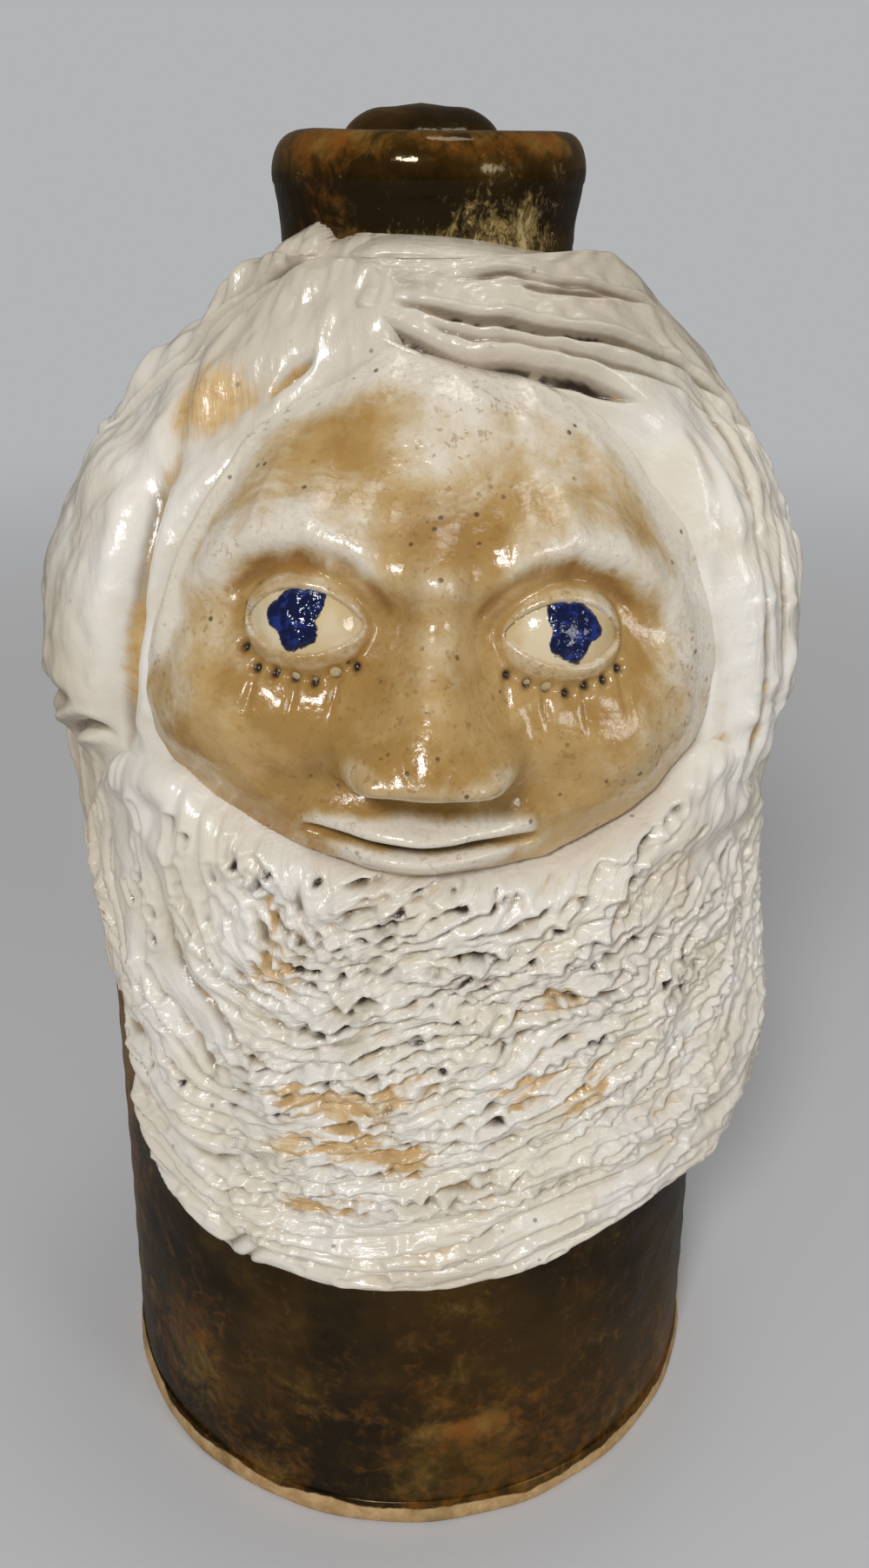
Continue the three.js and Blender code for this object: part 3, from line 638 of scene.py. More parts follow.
def combed(a, z, along, across, left, bold, smooth):  # strands, finer rows and lumps, about 2 mm high
    firm = 0.6 + 0.5 * mottle(along * 0.25, across, 5, 28)
    phase = across / (4.0 + 0.8 * left) + 0.6 * mottle(along * 0.4, across, 10, 25)
    strands = ridged(phase + 0.08 * mottle(a, z, 5, 26)) - 0.7
    fineRows = ridged(across / 2.3 + 0.9 * mottle(along * 0.45, across, 4, 27)) - 0.7
    lumps = mottle(along * 0.4, across, 1.9, 24) + 0.12 * mottle(a, z, 1.4, 29)
    lumps = 2 * ease(lumps, -0.7, 0.7) - 1
    relief = (2.35 + 0.4 * left) * bold * np.maximum(firm, 0.4) * strands
    relief = relief + (1 - bold) * 0.7 * np.minimum(firm, 1) * fineRows
    relief = relief + lumps * (0.42 - 0.32 * bold) + 0.4 * mottle(a, z, 7, 23)
    relief = relief + (0.1 - 0.05 * bold) * mottle(a, z, 1.3, 22)
    relief = relief + 0.6 * bold * mottle(along * 0.5, across, 5, 21)
    plain = 0.5 * mottle(a, z, 4.5, 19) + 0.25 * mottle(a, z, 2, 18)
    return relief * (1 - 0.8 * smooth) + smooth * plain


def pricked(relief, a, z, low, high, across, room, spared):  # presses strokes in where there is room
    # the dark bottoms of the strokes are painted shade
    pitShade = np.zeros(a.shape)
    rng = np.random.default_rng(beard["seed"])
    slopeZ, slopeA = np.gradient(across)
    calm = 1 - ease(z - 0.12 * a, 70, 88)  # fewer dark holes low down
    dashes = holes = 0
    for spot in rng.uniform(low, high, (beard["tries"], 2)):
        cell = (spot - low) / beard["spacing"]
        i = tuple(int(np.clip(cell[k], 0, a.shape[1 - k] - 1)) for k in (1, 0))
        if room[i] < 0 or rng.random() < spared[i]:
            continue
        turn = math.atan2(-slopeA[i], slopeZ[i]) + (math.pi if slopeZ[i] < 0 else 0) + rng.normal(0, 0.16)
        if holes < beard["holes"] and rng.random() < 0.3:
            holes += 1
            length, width = rng.uniform(*beard["holeLength"]), rng.uniform(*beard["holeWidth"])
            depth = 1.2 - 0.8 * calm[i]
            cut, groove = pressed(relief, a, z, low, spot, turn, length, width, depth, 0.25)
            pitShade[cut] = np.maximum(pitShade[cut], groove * rng.uniform(0.5, 1.3) * (1 - 0.8 * calm[i]))
        elif dashes < beard["dashes"]:
            dashes += 1
            sizes = [rng.uniform(*beard[name]) for name in ("dashLength", "dashWidth", "dashDepth")]
            cut, groove = pressed(relief, a, z, low, spot, turn, *sizes, 0.35)
            pitShade[cut] = np.maximum(pitShade[cut], groove * rng.uniform(0.0, 0.65) * (1 - 0.5 * calm[i]))
    return pitShade


def makeBeard():  # a thick slab under the mouth, combed into strands and pricked
    line = through(onHead(beard["outline"]), 260, True)
    low, high = line.min(0) - beard["margin"], line.max(0) + beard["margin"]
    slab, (a, z), back = chartSlab("carvedBeard", low, high, beard["spacing"])
    edge = insideOf(a, z, line) + 0.8 * mottle(a, z, 9, 11) + 0.2 * mottle(a, z, 4, 12)
    thin = 1 - ease(a, -62.8, -21)  # toward the left edge
    side = ease(a, 16.7, 67)  # toward the right edge
    deep = 1 - ease(z, 68, 100)  # low down
    thick = beard["thickness"] * (1 - 0.6 * thin + side * (0.6 * deep - 0.3))
    share = spokeShare(a, z, line) + 0.02 * mottle(a, z, 14, 13)
    rib = beard["rib"] * (1 - np.cos(share * beard["ribs"] * 2 * math.pi)) / 2  # broad rings, as on the solid
    upper = ease(z, 104, 114) * (1 - ease(-a, 42, 50))  # the edge under the mouth
    roll = held(edge / (9 - 1.5 * upper))
    shape = (1 - (1 - roll) ** 3.2) ** 0.75
    body = (thick - rib * ease(edge, 3, 8)) * shape + 2.7 * upper * (1 - shape)
    wanderA = a + 2.2 * mottle(a, z, 11, 3) + 0.8 * mottle(a, z, 4.5, 4)
    wanderZ = z + 2.2 * mottle(a, z, 11, 5) + 0.8 * mottle(a, z, 4.5, 6)
    along, across = beardFlow(wanderA, wanderZ)
    across = across + (47 - edge - across) * ease(0.1 * a - z, -88, -62)  # beside the hem, low down
    left = ease(-a, 17, 24)
    bottom = ease(-z + 0.12 * a, -70, -62)
    right = ease(a, 34, 52)
    bold = np.maximum.reduce([left, bottom, 0.85 * right])
    smooth = ease(-a, 20, 30) * ease(z, 108, 117) + ease(a, 23, 34) * ease(z, 101, 112)
    lips = 1 - ease(edge, 0.0, 3.6 - 2.2 * upper)  # the smooth hem
    relief = combed(a, z, along, across, left, bold, smooth)
    spared = np.maximum.reduce([0.75 * bold, 0.95 * smooth, 0.9 * lips])
    pitShade = pricked(relief, a, z, low, high, across, edge - (3 - 1.5 * upper), spared)
    body = body + relief * (1 - lips)
    out = np.where(edge > 0, np.maximum(body, -1), np.maximum(slabs["tuck"], edge * 1.4))
    stain = patches(a, z, beard["tan"], beard["tanTurn"])
    marks = {
        "relief": relief * (1 - lips),
        "stain": stain + 0.28 * ease(mottle(a, z, 7, 31), 0.25, 0.8),
        "pitShade": pitShade * (1 - lips),
        "along": along,
        "across": across,
        "combed": (1 - 0.5 * bold) * (1 - 0.8 * smooth) * (1 - lips),
    }
    laySlab(slab, (a, z, out), back, marks, "white", ["beard"])


locks = {
    "edges": [  # degrees round the wall and height, from the forehead outwards
        [
            (-30, 171), (-6, 170.6), (12, 170), (25, 168.6), (36, 164.6), (42.5, 158.5), (46, 149.5),
            (46.5, 138), (43, 120), (39, 103),
        ],
        [
            (-24, 177.6), (-4, 177.8), (14, 177), (29, 175.6), (43, 172), (54, 163.8), (61, 151.5),
            (63.5, 137.5), (61, 119), (57, 101),
        ],
        [
            (-26, 181.6), (-5, 181.8), (13, 180.9), (30, 179.4), (47, 176.4), (63, 167.4), (73, 153.5),
            (77, 137.5), (75, 118), (71, 99),
        ],
        [
            (-30, 185.2), (-6, 185.4), (13, 184.7), (32, 183), (53, 180.4), (73, 172), (85, 158.5),
            (91, 142.5), (91, 119), (87, 100),
        ],
        [
            (-30, 188.6), (-6, 188.8), (14, 188.3), (36, 187), (62, 185), (85, 178.4), (99, 165.5),
            (107, 148), (106, 122), (101, 102),
        ],
    ],
    "thickness": 8.2,
    "grooves": [  # drawn with a finger: points, width, depth
        (
            [
                (-8, 179.8), (7, 177.4), (19, 175.2), (38, 171.6), (53, 167.6), (63, 160), (69, 150),
                (72, 138),
            ], 0.66, 2.2,
        ),
        ([(-12, 177), (-2, 175.2), (7, 173.2), (17.4, 171.8), (29.6, 169.2), (38.5, 166)], 0.66, 2.2),
        ([(-4, 178.2), (8, 175.6), (20, 173.6), (33, 170.4), (46, 166.6), (56, 160)], 0.42, 1.1),
        ([(6, 182), (20, 180.9), (38, 178.6), (54, 174.6), (66, 168)], 0.5, 1.2),
        ([(20, 179.8), (31, 178.6), (43, 176.8)], 0.5, 1.6),
        ([(-22, 182.4), (-8, 181.8), (4, 181)], 1.6, 0.5),
    ],
    "dents": [  # rows of short dabs down the side
        [(43, 164), (43.4, 157.5), (41.8, 149), (41.5, 141), (41.8, 132), (40.5, 120)],
        [(51.8, 165.4), (52.4, 157), (49.4, 151), (47.6, 143), (47, 132), (45.5, 116)],
        [(59, 166), (60, 156), (56, 148), (53.8, 138), (52.6, 126), (50.5, 111)],
        [(68, 167), (71, 155), (66.5, 143), (63, 131), (60, 113)],
        [(78, 168), (84, 154), (80, 141), (75, 128), (71, 111)],
        [(89, 163), (95, 148), (92, 132), (86, 111)],
    ],
    "cells": (420, 190),
    "length": 150,
}


def makeLocks():  # the hair swept over the forehead and down the right side, in four broad strands
    degrees = vessel["chestRadius"] * math.pi / 180
    edges = [through([(d * degrees, z) for d, z in row], 200) for row in locks["edges"]]
    slab, (u, w), back = rolledSlab("hairRight", 0, 1, *locks["cells"])

    def band(u, v):  # a share along the strands and one across them to the chart
        v = (v * 1.12 - 0.06) * 4
        i = np.clip(np.floor(v), 0, 3).astype(int)
        t = v - i
        spot = np.zeros((2,) + u.shape)
        for k, edge in enumerate(edges):
            near = np.where(i == k, 1 - t, 0) + np.where(i + 1 == k, t, 0)
            for axis in (0, 1):
                spot[axis] += near * np.interp(u, np.linspace(0, 1, 200), edge[:, axis])
        return spot, v

    (a, z), v = band(u, w)
    along = u * locks["length"]
    wander = v + 0.10 * mottle(along, v * 9, 16, 41) + 0.04 * mottle(along, v * 9, 5, 42)
    side = ease(u, 0.42, 0.62)
    swell = np.abs(np.sin(np.pi * wander)) ** 0.8
    grow = locks["thickness"] * (0.60 + 0.30 * ease(u, 0.12, 0.42)) * (1 - 0.62 * ease(u, 0.74, 1.0))
    out = grow - 0.8 * (1 - swell) * side
    carved = np.zeros(a.shape)
    steep = np.hypot(1, wallRadius(z + 0.5) - wallRadius(z - 0.5))  # the chart is stretched on the shoulder
    for points, width, depth in locks["grooves"]:
        width = width / steep
        far, share, _ = nearLine(a, z + 0.5 * mottle(a, z, 9, 40), through(points, 60))
        fade = ease(share, -0.02, 0.16) * (1 - ease(share, 0.8, 1.02))
        deep = depth * fade * (0.85 + 0.3 * mottle(a, z, 9, 43))
        carved = carved - deep * bell(far, width * (0.7 + 0.4 * fade))
        carved = carved + 0.28 * deep * bell(far - 2.3 * width, width)
    for k, points in enumerate(locks["dents"]):
        far, share, _ = nearLine(a, z, through(points, 50))
        run = share * 60 + 3 * mottle(share * 60, share * 0, 6, 60 + k)
        bite, chew = (0.6, 0.2) if k == 0 else (0.9, 1.0)
        beat = 0.6 * np.sin(run / 5.2 * 2 * math.pi) + 1.3 * mottle(run, share * 0, 3.4, 70 + k)
        dab = ease(beat, -0.6, 1.1)
        fade = ease(share, -0.02, 0.12) * (1 - 0.5 * ease(share, 0.85, 1.0))
        carved = carved - bite * (0.6 + chew * dab) * fade * bell(far, 0.95)
        carved = carved + bite * (0.3 + 0.3 * dab) * fade * bell(far - 2.2, 1.1)
    soft = 0.5 * mottle(along, v * 7, 9, 45) + 0.34 * mottle(along, v * 9, 3.6, 46)
    fingered = 0.22 * mottle(along * 0.5, v * 10, 1.8, 47) * (0.45 + 0.55 * side)
    # the relief mark, deepened in the grooves, sets painted shade in the glaze
    relief = (2.1 - 0.6 * side) * carved + soft * 0.7 + fingered
    out = out + soft + fingered
    inner, outer = held(v / (1.15 - 0.5 * side)), held((4 - v) / 0.6)
    start, end = held(u / 0.07), held((1 - u) / 0.06)
    border = inner * outer * start * end
    shape = (1 - (1 - border) ** 2.2) ** 0.9
    out = out * shape + (shape - 1) * 1.2 + carved * ease(border, 0.03, 0.35)
    out = np.where((v > 0) & (v < 4), out, slabs["tuck"])
    # painted shade at the bottoms of the grooves
    dark = 0.8 * ease(mottle(along, v * 9, 2.2, 49) + 0.6, 0.1, 1.1)
    marks = {
        "relief": np.maximum(relief, -1.9) * shape,
        "stain": 0.42 * ease(mottle(along, v * 9, 7, 48), 0.35, 0.9) * side,
        "pitShade": dark * ease(-carved, 0.7, 1.5) * (1 - 0.6 * side),
        "along": along,
        "across": v * 11,
        "combed": 0.2 + 0.25 * side,
    }
    nodes = [f"hair_right_{i}" for i in range(1, 5)]
    laySlab(slab, (a, z, out), band(*back)[0], marks, "white", nodes)


temple = {
    "low": (-92.0, 82.0),
    "high": (-3.0, 190.5),
    "sheet": [(-0.32, 3.52), (-0.77, 3.29), (-1.11, 2.86), (-1.29, 2.29), (-1.34, 1.71)],
    "lobe": [
        (-1.04, 2.29), (-1.36, 2.62), (-1.77, 2.67), (-2.06, 2.19), (-2.15, 1.48), (-2.04, 0.9),
        (-1.76, 0.55), (-1.4, 0.5), (-1.12, 0.72), (-1.02, 1.24), (-1.02, 1.81),
    ],
    "cap": [
        (-0.1, 2.95), (-0.1, 3.7), (-0.75, 3.72), (-1.3, 3.56), (-1.72, 3.1), (-2.08, 2.45), (-2.2, 1.7),
        (-1.95, 1.6), (-1.6, 2.0), (-1.28, 2.3), (-1.16, 2.5), (-0.9, 2.66), (-0.55, 2.86),
    ],
    "locks": [  # thin strands that run on from the lobe down the edge of the beard
        [(-1.95, 0.72), (-1.8, 0.36), (-1.64, -0.06), (-1.48, -0.56), (-1.34, -1.1)],
        [(-1.78, 0.7), (-1.66, 0.3), (-1.53, -0.12), (-1.4, -0.62), (-1.28, -1.15)],
        [(-1.5, 0.8), (-1.5, 0.34), (-1.43, -0.1), (-1.33, -0.6), (-1.24, -1.1)],
        [(-1.27, 0.85), (-1.32, 0.45), (-1.32, 0.0), (-1.26, -0.5)],
    ],
    "underlay": [
        (-0.3, 3.2), (-1.1, 3.5), (-1.9, 2.9), (-2.2, 1.8), (-2.1, 0.8), (-1.8, 0.3), (-1.35, -0.4),
        (-1.0, 0.2), (-0.72, 0.9), (-0.86, 1.6), (-0.8, 2.2), (-0.5, 2.8),
    ],
    "rope": [(-0.82, 3.64), (-1.31, 3.45), (-1.72, 3.05), (-2.02, 2.43), (-2.2, 1.71)],
    "notch": [(-28, 169), (-24.5, 171.4), (-21, 173.4)],
    "creases": [  # points, width, depth
        ([(-56, 121), (-50, 127), (-44.5, 129.5), (-41, 128.5)], 0.9, 2.2),
        ([(-66, 126), (-58, 130), (-51, 131.5), (-46, 133)], 1.3, 1.3),
        ([(-44, 162), (-39.5, 153), (-38.2, 143), (-38.8, 131), (-42, 124)], 1.7, 2.0),
        ([(-62, 170), (-50, 171), (-41, 163), (-38.5, 153)], 1.6, 0.9),
        ([(-34, 183), (-45, 176), (-56, 168), (-66, 158)], 1.0, 0.8),
        ([(-16, 183), (-30, 177), (-44, 171)], 2.2, 0.5),
        ([(-30, 185), (-43, 180), (-54, 172.5), (-63, 163), (-69, 152)], 0.7, 1.5),
    ],
    "thickness": 8.2,
    "spacing": 0.4,
}


def blurred(field, reach):  # the mean over a square, used to tell what stands out from what lies low
    for axis in (0, 1):
        pads = [(0, 0), (0, 0)]
        pads[axis] = (reach + 1, reach)
        total = np.cumsum(np.pad(field, pads, mode="edge"), axis=axis)
        size = field.shape[axis]
        ends = np.arange(size) + 2 * reach + 1
        field = (np.take(total, ends, axis) - np.take(total, ends - 2 * reach - 1, axis)) / (2 * reach + 1)
    return field


def makeTemple():  # the hair on the left: a sheet, a hanging lobe with a fold, and a roped edge
    slab, (a, z), back = chartSlab("hairLeft", temple["low"], temple["high"], temple["spacing"])
    thick = temple["thickness"]
    under = -2.0

    def roll(points, widths, rises):  # a coil of clay along a line
        line = through(onHead(points), 100)
        far, share, _ = nearLine(a, z, line)
        half = np.interp(share, np.linspace(0, 1, len(widths)), widths) / 2
        rise = np.interp(share, np.linspace(0, 1, len(rises)), rises)
        tip = held(np.minimum(share, 1 - share) / 0.08) ** 0.5
        swollen = np.sqrt(held(1 - (far / (half * (0.4 + 0.6 * tip))) ** 2))
        return under + (rise - under) * swollen, share

    def pad(points, rise, hem, fullness):  # a cushion inside a closed line
        inside = insideOf(a, z, through(onHead(points), 160, True)) + 0.5 * mottle(a, z, 7, 51)
        return under + (rise - under) * (1 - (1 - held(inside / hem)) ** fullness) ** 0.7

    sheet, _ = roll(temple["sheet"], [12, 18, 20, 18], [thick * v for v in (0.5, 0.66, 0.66, 0.55)])
    rope, ropeShare = roll(temple["rope"], [9, 11, 13, 10], [thick * v for v in (0.5, 0.62, 0.7, 0.62)])
    lobe = pad(temple["lobe"], thick * 0.82, 11, 2.4) + 0.3 * mottle(a, z, 5, 56)
    cap = pad(temple["cap"], thick * 0.6, 8, 2.2)
    underlay = pad(temple["underlay"], 3.4, 5, 2)
    widths, rises = [5, 5, 4.6, 4, 3], [3.9, 3.5, 3.1, 2.8, 2.2]
    strands = [roll(points, widths, rises)[0] for points in temple["locks"]]
    knots = 0.6 * mottle(ropeShare * 26, z * 0, 1.0, 52) + 0.7 * mottle(a, z, 2.6, 58)  # the roped edge
    rope = rope + knots * ease(rope, 1, 4)
    pieces = [sheet, lobe, rope, cap, underlay] + strands
    blend = 0.55  # how softly the pieces run into each other
    out = blend * np.log(sum(np.exp(piece / blend) for piece in pieces))
    solid = ease(out, 0, 1.5)
    uneven = 0.45 * mottle(a, z, 8, 53) + 0.32 * mottle(a, z, 3.6, 54) + 0.16 * mottle(a, z, 1.7, 55)
    out = out + uneven * solid
    for points, width, depth in temple["creases"]:
        far, share, _ = nearLine(a, z, through(points, 50))
        fade = ease(share, -0.02, 0.25) * (1 - ease(share, 0.75, 1.02))
        out = out - depth * fade * solid * bell(far, width)
        out = out + 0.3 * depth * fade * solid * bell(far - 2.2 * width, width)
    far, share, _ = nearLine(a, z, through(temple["notch"], 20))
    notch = bell(far, 0.75) * np.sin(share * math.pi) ** 0.5
    out = out - 1.5 * notch
    # the lows of this relief get painted shade in the glaze
    relief = 1.6 * (out - blurred(out, 6))
    out = np.where(out > 0.2, out, slabs["tuck"])
    stain = 0.85 * hump(a, z, -40, 167, 9, 4.5, 12) + 0.3 * ease(mottle(a, z, 8, 57), 0.3, 0.9)
    stain = stain + 0.27 * hump(a, z, -37.5, 146, 3.4, 19) + 0.4 * hump(a, z, -23, 171, 8, 3, 20)
    marks = {
        "relief": np.clip(relief, -1.6, 1.2),
        "stain": stain,
        # painted shade in the notch
        "pitShade": 0.55 * notch ** 3,
        "along": z * 0.8 - a * 0.6,
        "across": a * 0.8 + z * 0.6,
        "combed": 0.15 + 0.5 * (1 - ease(z, 112, 124)),
    }
    nodes = [f"hair_left_{name}" for name in ("sheet", "lobe", "rope", "fold", "lock")]
    laySlab(slab, (a, z, out), back, marks, "white", nodes)


features = {
    "low": (-43.0, 113.0),
    "high": (43.0, 180.0),
    "spacing": 0.3,
    "slab": 4.6,
    "brow": 4.8,
    "crest": ((0, 0.4, 0.7, 1.05, 1.5, 1.9, 2.3), (-0.6, -0.4, 1.2, 2.4, 1.6, -1.6, -5.5)),
    "rise": ((-0.25, 0.1, 0.55, 1, 1.5, 1.95, 2.35), (0, 0.42, 0.95, 1, 0.8, 0.4, 0)),
    "nose": 9.3,
    "tip": 3.4,
    "nostril": 3.3,
    "cheek": 3.2,
    "lip": 3.6,
    "slit": 3.4,
    "lid": 0.7,
    "pricks": 7,
    "stains": [(0, 156, 7, 6, 0.75), (22, 131, 9, 6, 0.4), (-24, 133, 9, 10, 0.5)],
    "brim": (  # where the hair lies over the skin: across and height
        (-46, -33, -18, -11, 7, 18, 30, 38, 44, 47),
        (158, 166.5, 172.5, 175.5, 172.4, 171, 168.5, 165.5, 159, 148),
    ),
    "outline": [
        (0, 3.15), (0.76, 2.8), (1.04, 2), (1.06, 1.1), (0.72, 0.7), (0.36, 0.417), (0, 0.387),
        (-0.36, 0.417), (-0.72, 0.7), (-1, 1.1), (-0.96, 2), (-0.72, 2.75),
    ],
}
eyes = {
    "wide": 8.6,
    "high": 7.6,
    "dome": 7.0,
    "sunk": 0.6,
    "gap": 7.0,  # half the width between the corners
    "upperLid": 3.0,  # how far each lid arches
    "lowerLid": 2.9,
    "slant": 0.3,
    "sheet": (18.6, 16.6),
    "cells": (96, 84),
    "iris": 2.95,
}


def ballHeight(x, y, side):  # the eyeball's dome over the wall, on the upright face
    dx = (x - side * head["eyeWidth"]) / eyes["wide"]
    dy = (y - head["eyeLine"]) / eyes["high"]
    return eyes["dome"] * np.sqrt(held(1 - dx * dx - dy * dy)) - eyes["sunk"]


def eyeGap(x, y, side):  # above 0 between the lids, in millimetres
    t = np.linspace(-1, 1, 40)
    arch = (1 - np.abs(t) ** 2.1) ** 0.8
    along = side * head["eyeWidth"] + eyes["gap"] * t
    slant = side * eyes["slant"] * t
    upper = np.stack([along, head["eyeLine"] + eyes["upperLid"] * arch - slant], 1)
    lower = np.stack([along, head["eyeLine"] - eyes["lowerLid"] * arch - slant], 1)
    return insideOf(x, y, np.vstack([upper, lower[-2:0:-1]]))


def turnFace(x, y):  # the upright face to the chart, with the tilt of the head
    t = math.radians(-head["tilt"])
    dy = y - head["eyeLine"]
    return (
        head["centre"] + x * math.cos(t) - dy * math.sin(t),
        head["eyeLine"] + x * math.sin(t) + dy * math.cos(t),
    )


def noseHeight(x, y, tip):  # the bridge, the ball and the two wings
    nose, brow = head["noseLine"], head["browLine"]
    climb = held((brow - 2.5 - y) / (brow - 2.5 - tip))
    bridge = 3.2 + (features["nose"] - 3.2) * climb ** 1.15
    width = 3.7 + 3.1 * climb ** 1.3
    under = ease(y, nose - 1.6, nose + 3.0)
    above = 1 - ease(y, brow - 4, brow + 5)
    profile = np.exp(-np.abs(x / width) ** 2.2)
    ball = 1.6 * hump(x, y, 0, tip + 0.9, 6.4, 5.4)
    for side in (-1, 1):
        ball = ball + 4.6 * hump(x, y, side * 6.1, nose + 3.1, 3.1, 2.9)
    return bridge * profile * under * above + ball * ease(y, nose - 1.4, nose + 1.4)


def mouthParts(x, y):  # the two lips and the line between them, each from 0 to 1
    part = head["mouthLine"] - 0.35 * np.cos(x / 3.4) - 0.012 * x * x * 0.25
    reach = plateau(x, 12.8, 2)
    upper = bell(y - part - 1.9, 2.1) * reach ** 0.8
    lower = bell(y - part + 2.2, 2.3) * plateau(x, 10.8, 2.4)
    slit = bell(y - part, 0.75) * plateau(x, 13.2, 6)
    return upper, lower, slit


def openEye(x, y, side, out, veil, stain, pitShade):  # lids over the ball, with a row of pricks under them
    e, eye = head["eyeWidth"], head["eyeLine"]
    gap = eyeGap(x, y, side)
    around = ease(gap, -5.4, -0.8)
    cover = np.maximum(out, ballHeight(x, y, side) + features["lid"])
    out = out + (cover - out) * around * (np.hypot((x - side * e) / 9.6, (y - eye) / 8.4) < 1.25)
    rim = bell(gap + 0.9, 0.95)
    out = out + 0.15 * rim
    crease = bell(gap + 3.1, 0.7) * ease(y, eye + 0.5, eye + 3)
    out = out - 0.8 * crease
    hole = ease(gap, -0.15, 0.55)  # the skin is open between the lids
    out = out * (1 - hole) + 0.5 * hole
    # painted shade under the brow ridge is laid into the stain here; the lid crease is darkened too
    stain = stain + 0.5 * crease + 0.45 * hump(x, y, side * e, eye + 6.4, 9, 2.4)
    veil = veil - 0.45 * rim
    for k in range(features["pricks"]):
        t = (k + 0.5) / features["pricks"] * 2 - 1
        px = side * e + t * 7.6
        py = eye - 3.1 * (1 - abs(t) ** 2.1) ** 0.8 - 2.6 - 0.3 * math.sin(k * 2.3 + side)
        prick = hump(x, y, px, py, 0.55, 0.62)
        out = out - 1.3 * prick
        pitShade = np.maximum(pitShade, prick)
        if k % 2 == (0 if side > 0 else 1):
            scratch = hump(x, y, px - side * 0.2, py - 2.3, 0.42, 1.9, side * 6)
            out = out - 0.55 * scratch
            pitShade = np.maximum(pitShade, 0.35 * scratch)
    return out, veil, stain, pitShade


def makeFace():  # the skin with its brows, nose, cheeks, lips and lids
    slab, (x, y), back = chartSlab("faceSkin", features["low"], features["high"], features["spacing"])
    e, eye, brow = head["eyeWidth"], head["eyeLine"], head["browLine"]
    nose, mouth = head["noseLine"], head["mouthLine"]
    a, z = turnFace(x, y)
    out = features["slab"] + 1.2 * hump(x, y, 0, 168, 30, 12)
    high = ease(y + 0.1 * np.abs(x) + 2.5 * mottle(x, y, 9, 63), 155, 168)
    veil = 0.4 * high + 0.34 * ease(y, 138, 150)
    veil = veil + 0.22 * ease(x, 2, 18) + 0.3 * mottle(x, y, 11, 67)
    for side in (-1, 1):
        aside = x * side / e
        lift = y - (np.interp(aside, *features["crest"]) + brow)
        rise = np.interp(aside, *features["rise"])
        ridge = bell(lift, np.where(lift > 0, 5.6, 3.0)) * rise
        out = out + features["brow"] * ridge
        veil = veil + 0.6 * bell(lift - 0.6, 2.6) * rise * ease(aside, 0.3, 1.3)
        out = out - 2.9 * hump(x, y, side * e * 1.02, eye + 1.2, 10.5, 6.0)  # socket
        out = out - 1.0 * hump(x, y, side * e * 0.42, eye + 1, 2.6, 4)  # inner corner
        out = out + features["cheek"] * hump(x, y, side * e * 1.45, nose + 4.5, 9.5, 7.5, -side * 14)
        veil = veil + 0.35 * hump(x, y, side * e * 1.9, nose + 12, 4, 9)
    tip = nose + features["tip"]
    out = out + noseHeight(x, y, tip)
    for side in (-1, 1):
        out = out - 3.0 * hump(x, y, side * features["nostril"], nose + 0.4, 1.7, 1.0, side * 12)
        out = out - 0.7 * hump(x, y, side * 11.6, nose - 0.8, 1.6, 6.5, side * 28)
    out = out + 1.8 * hump(x, y, 0, mouth, 14, 7)
    out = out - 0.5 * hump(x, y, 0, nose - 3.2, 1.6, 2.4)
    upper, lower, slit = mouthParts(x, y)
    out = out + features["lip"] * (upper * (0.92 + 0.12 * np.cos(x / 2.6)) + 0.9 * lower)
    out = out - features["slit"] * slit
    veil = veil + 1.5 * upper + 0.9 * lower
    veil = veil + 0.25 * hump(x, y, 0, 141, 3.2, 11) - 0.6 * hump(x, y, 0, 155, 5, 4)
    veil = veil - 0.35 * hump(x, y, 0, tip, 6, 4)
    # painted shade in the mouth line, the nostrils and the pricks
    pitShade = 0.9 * slit * plateau(x, 12, 4)
    stain = patches(x, y, features["stains"])
    for side in (-1, 1):
        nostril = hump(x, y, side * features["nostril"], nose + 0.2, 1.4, 0.8, side * 12)
        pitShade = np.maximum(pitShade, 0.9 * nostril)
        out, veil, stain, pitShade = openEye(x, y, side, out, veil, stain, pitShade)
    out = out + 0.38 * mottle(x, y, 6, 61) + 0.2 * mottle(x, y, 2.6, 62)
    edge = insideOf(x, y, through(onHead(features["outline"]), 160, True))
    edge = edge + 1.1 * mottle(x, y, 9, 64) + 0.4 * mottle(x, y, 4, 65)
    hem = 1 - ease(edge, 0, 8)
    left = ease(-a, 24, 31)
    strip = left * bell(edge - 2.6, 1.7) * ease(z, 136, 146)  # a pale ridge along the left edge
    out = out - 1.9 * hem + 1.5 * strip
    over = ease(z - np.interp(a, *features["brim"]) + 0.8 * mottle(a, z, 8, 66), -1.0, 4.0)
    out = out * (1 - 0.9 * over)
    veil = veil + 0.9 * hem * ease(z, 134, 146) + 0.8 * strip + 0.5 * ease(a, 27, 36) * ease(z, 118, 130)
    kept = ease(edge, -2.5, 1.5)
    out = np.where(edge > -2.5, out * kept + slabs["tuck"] * (1 - kept), slabs["tuck"])
    relief = np.clip(1.3 * (out - blurred(out, 7)), -1.2, 1.2) * ease(edge, 0, 3)
    marks = {"veil": np.clip(veil, -0.5, 1.6), "stain": stain, "pitShade": pitShade, "relief": relief}
    nodes = ["face_slab", "nose", "upper_lip", "lower_lip"]
    for side in ("left", "right"):
        nodes += [f"{part}_{side}" for part in ("nose_wing", "upper_lid", "lower_lid", "brow", "cheek")]
    laySlab(slab, (a, z, out), turnFace(*back), marks, "skin", nodes)


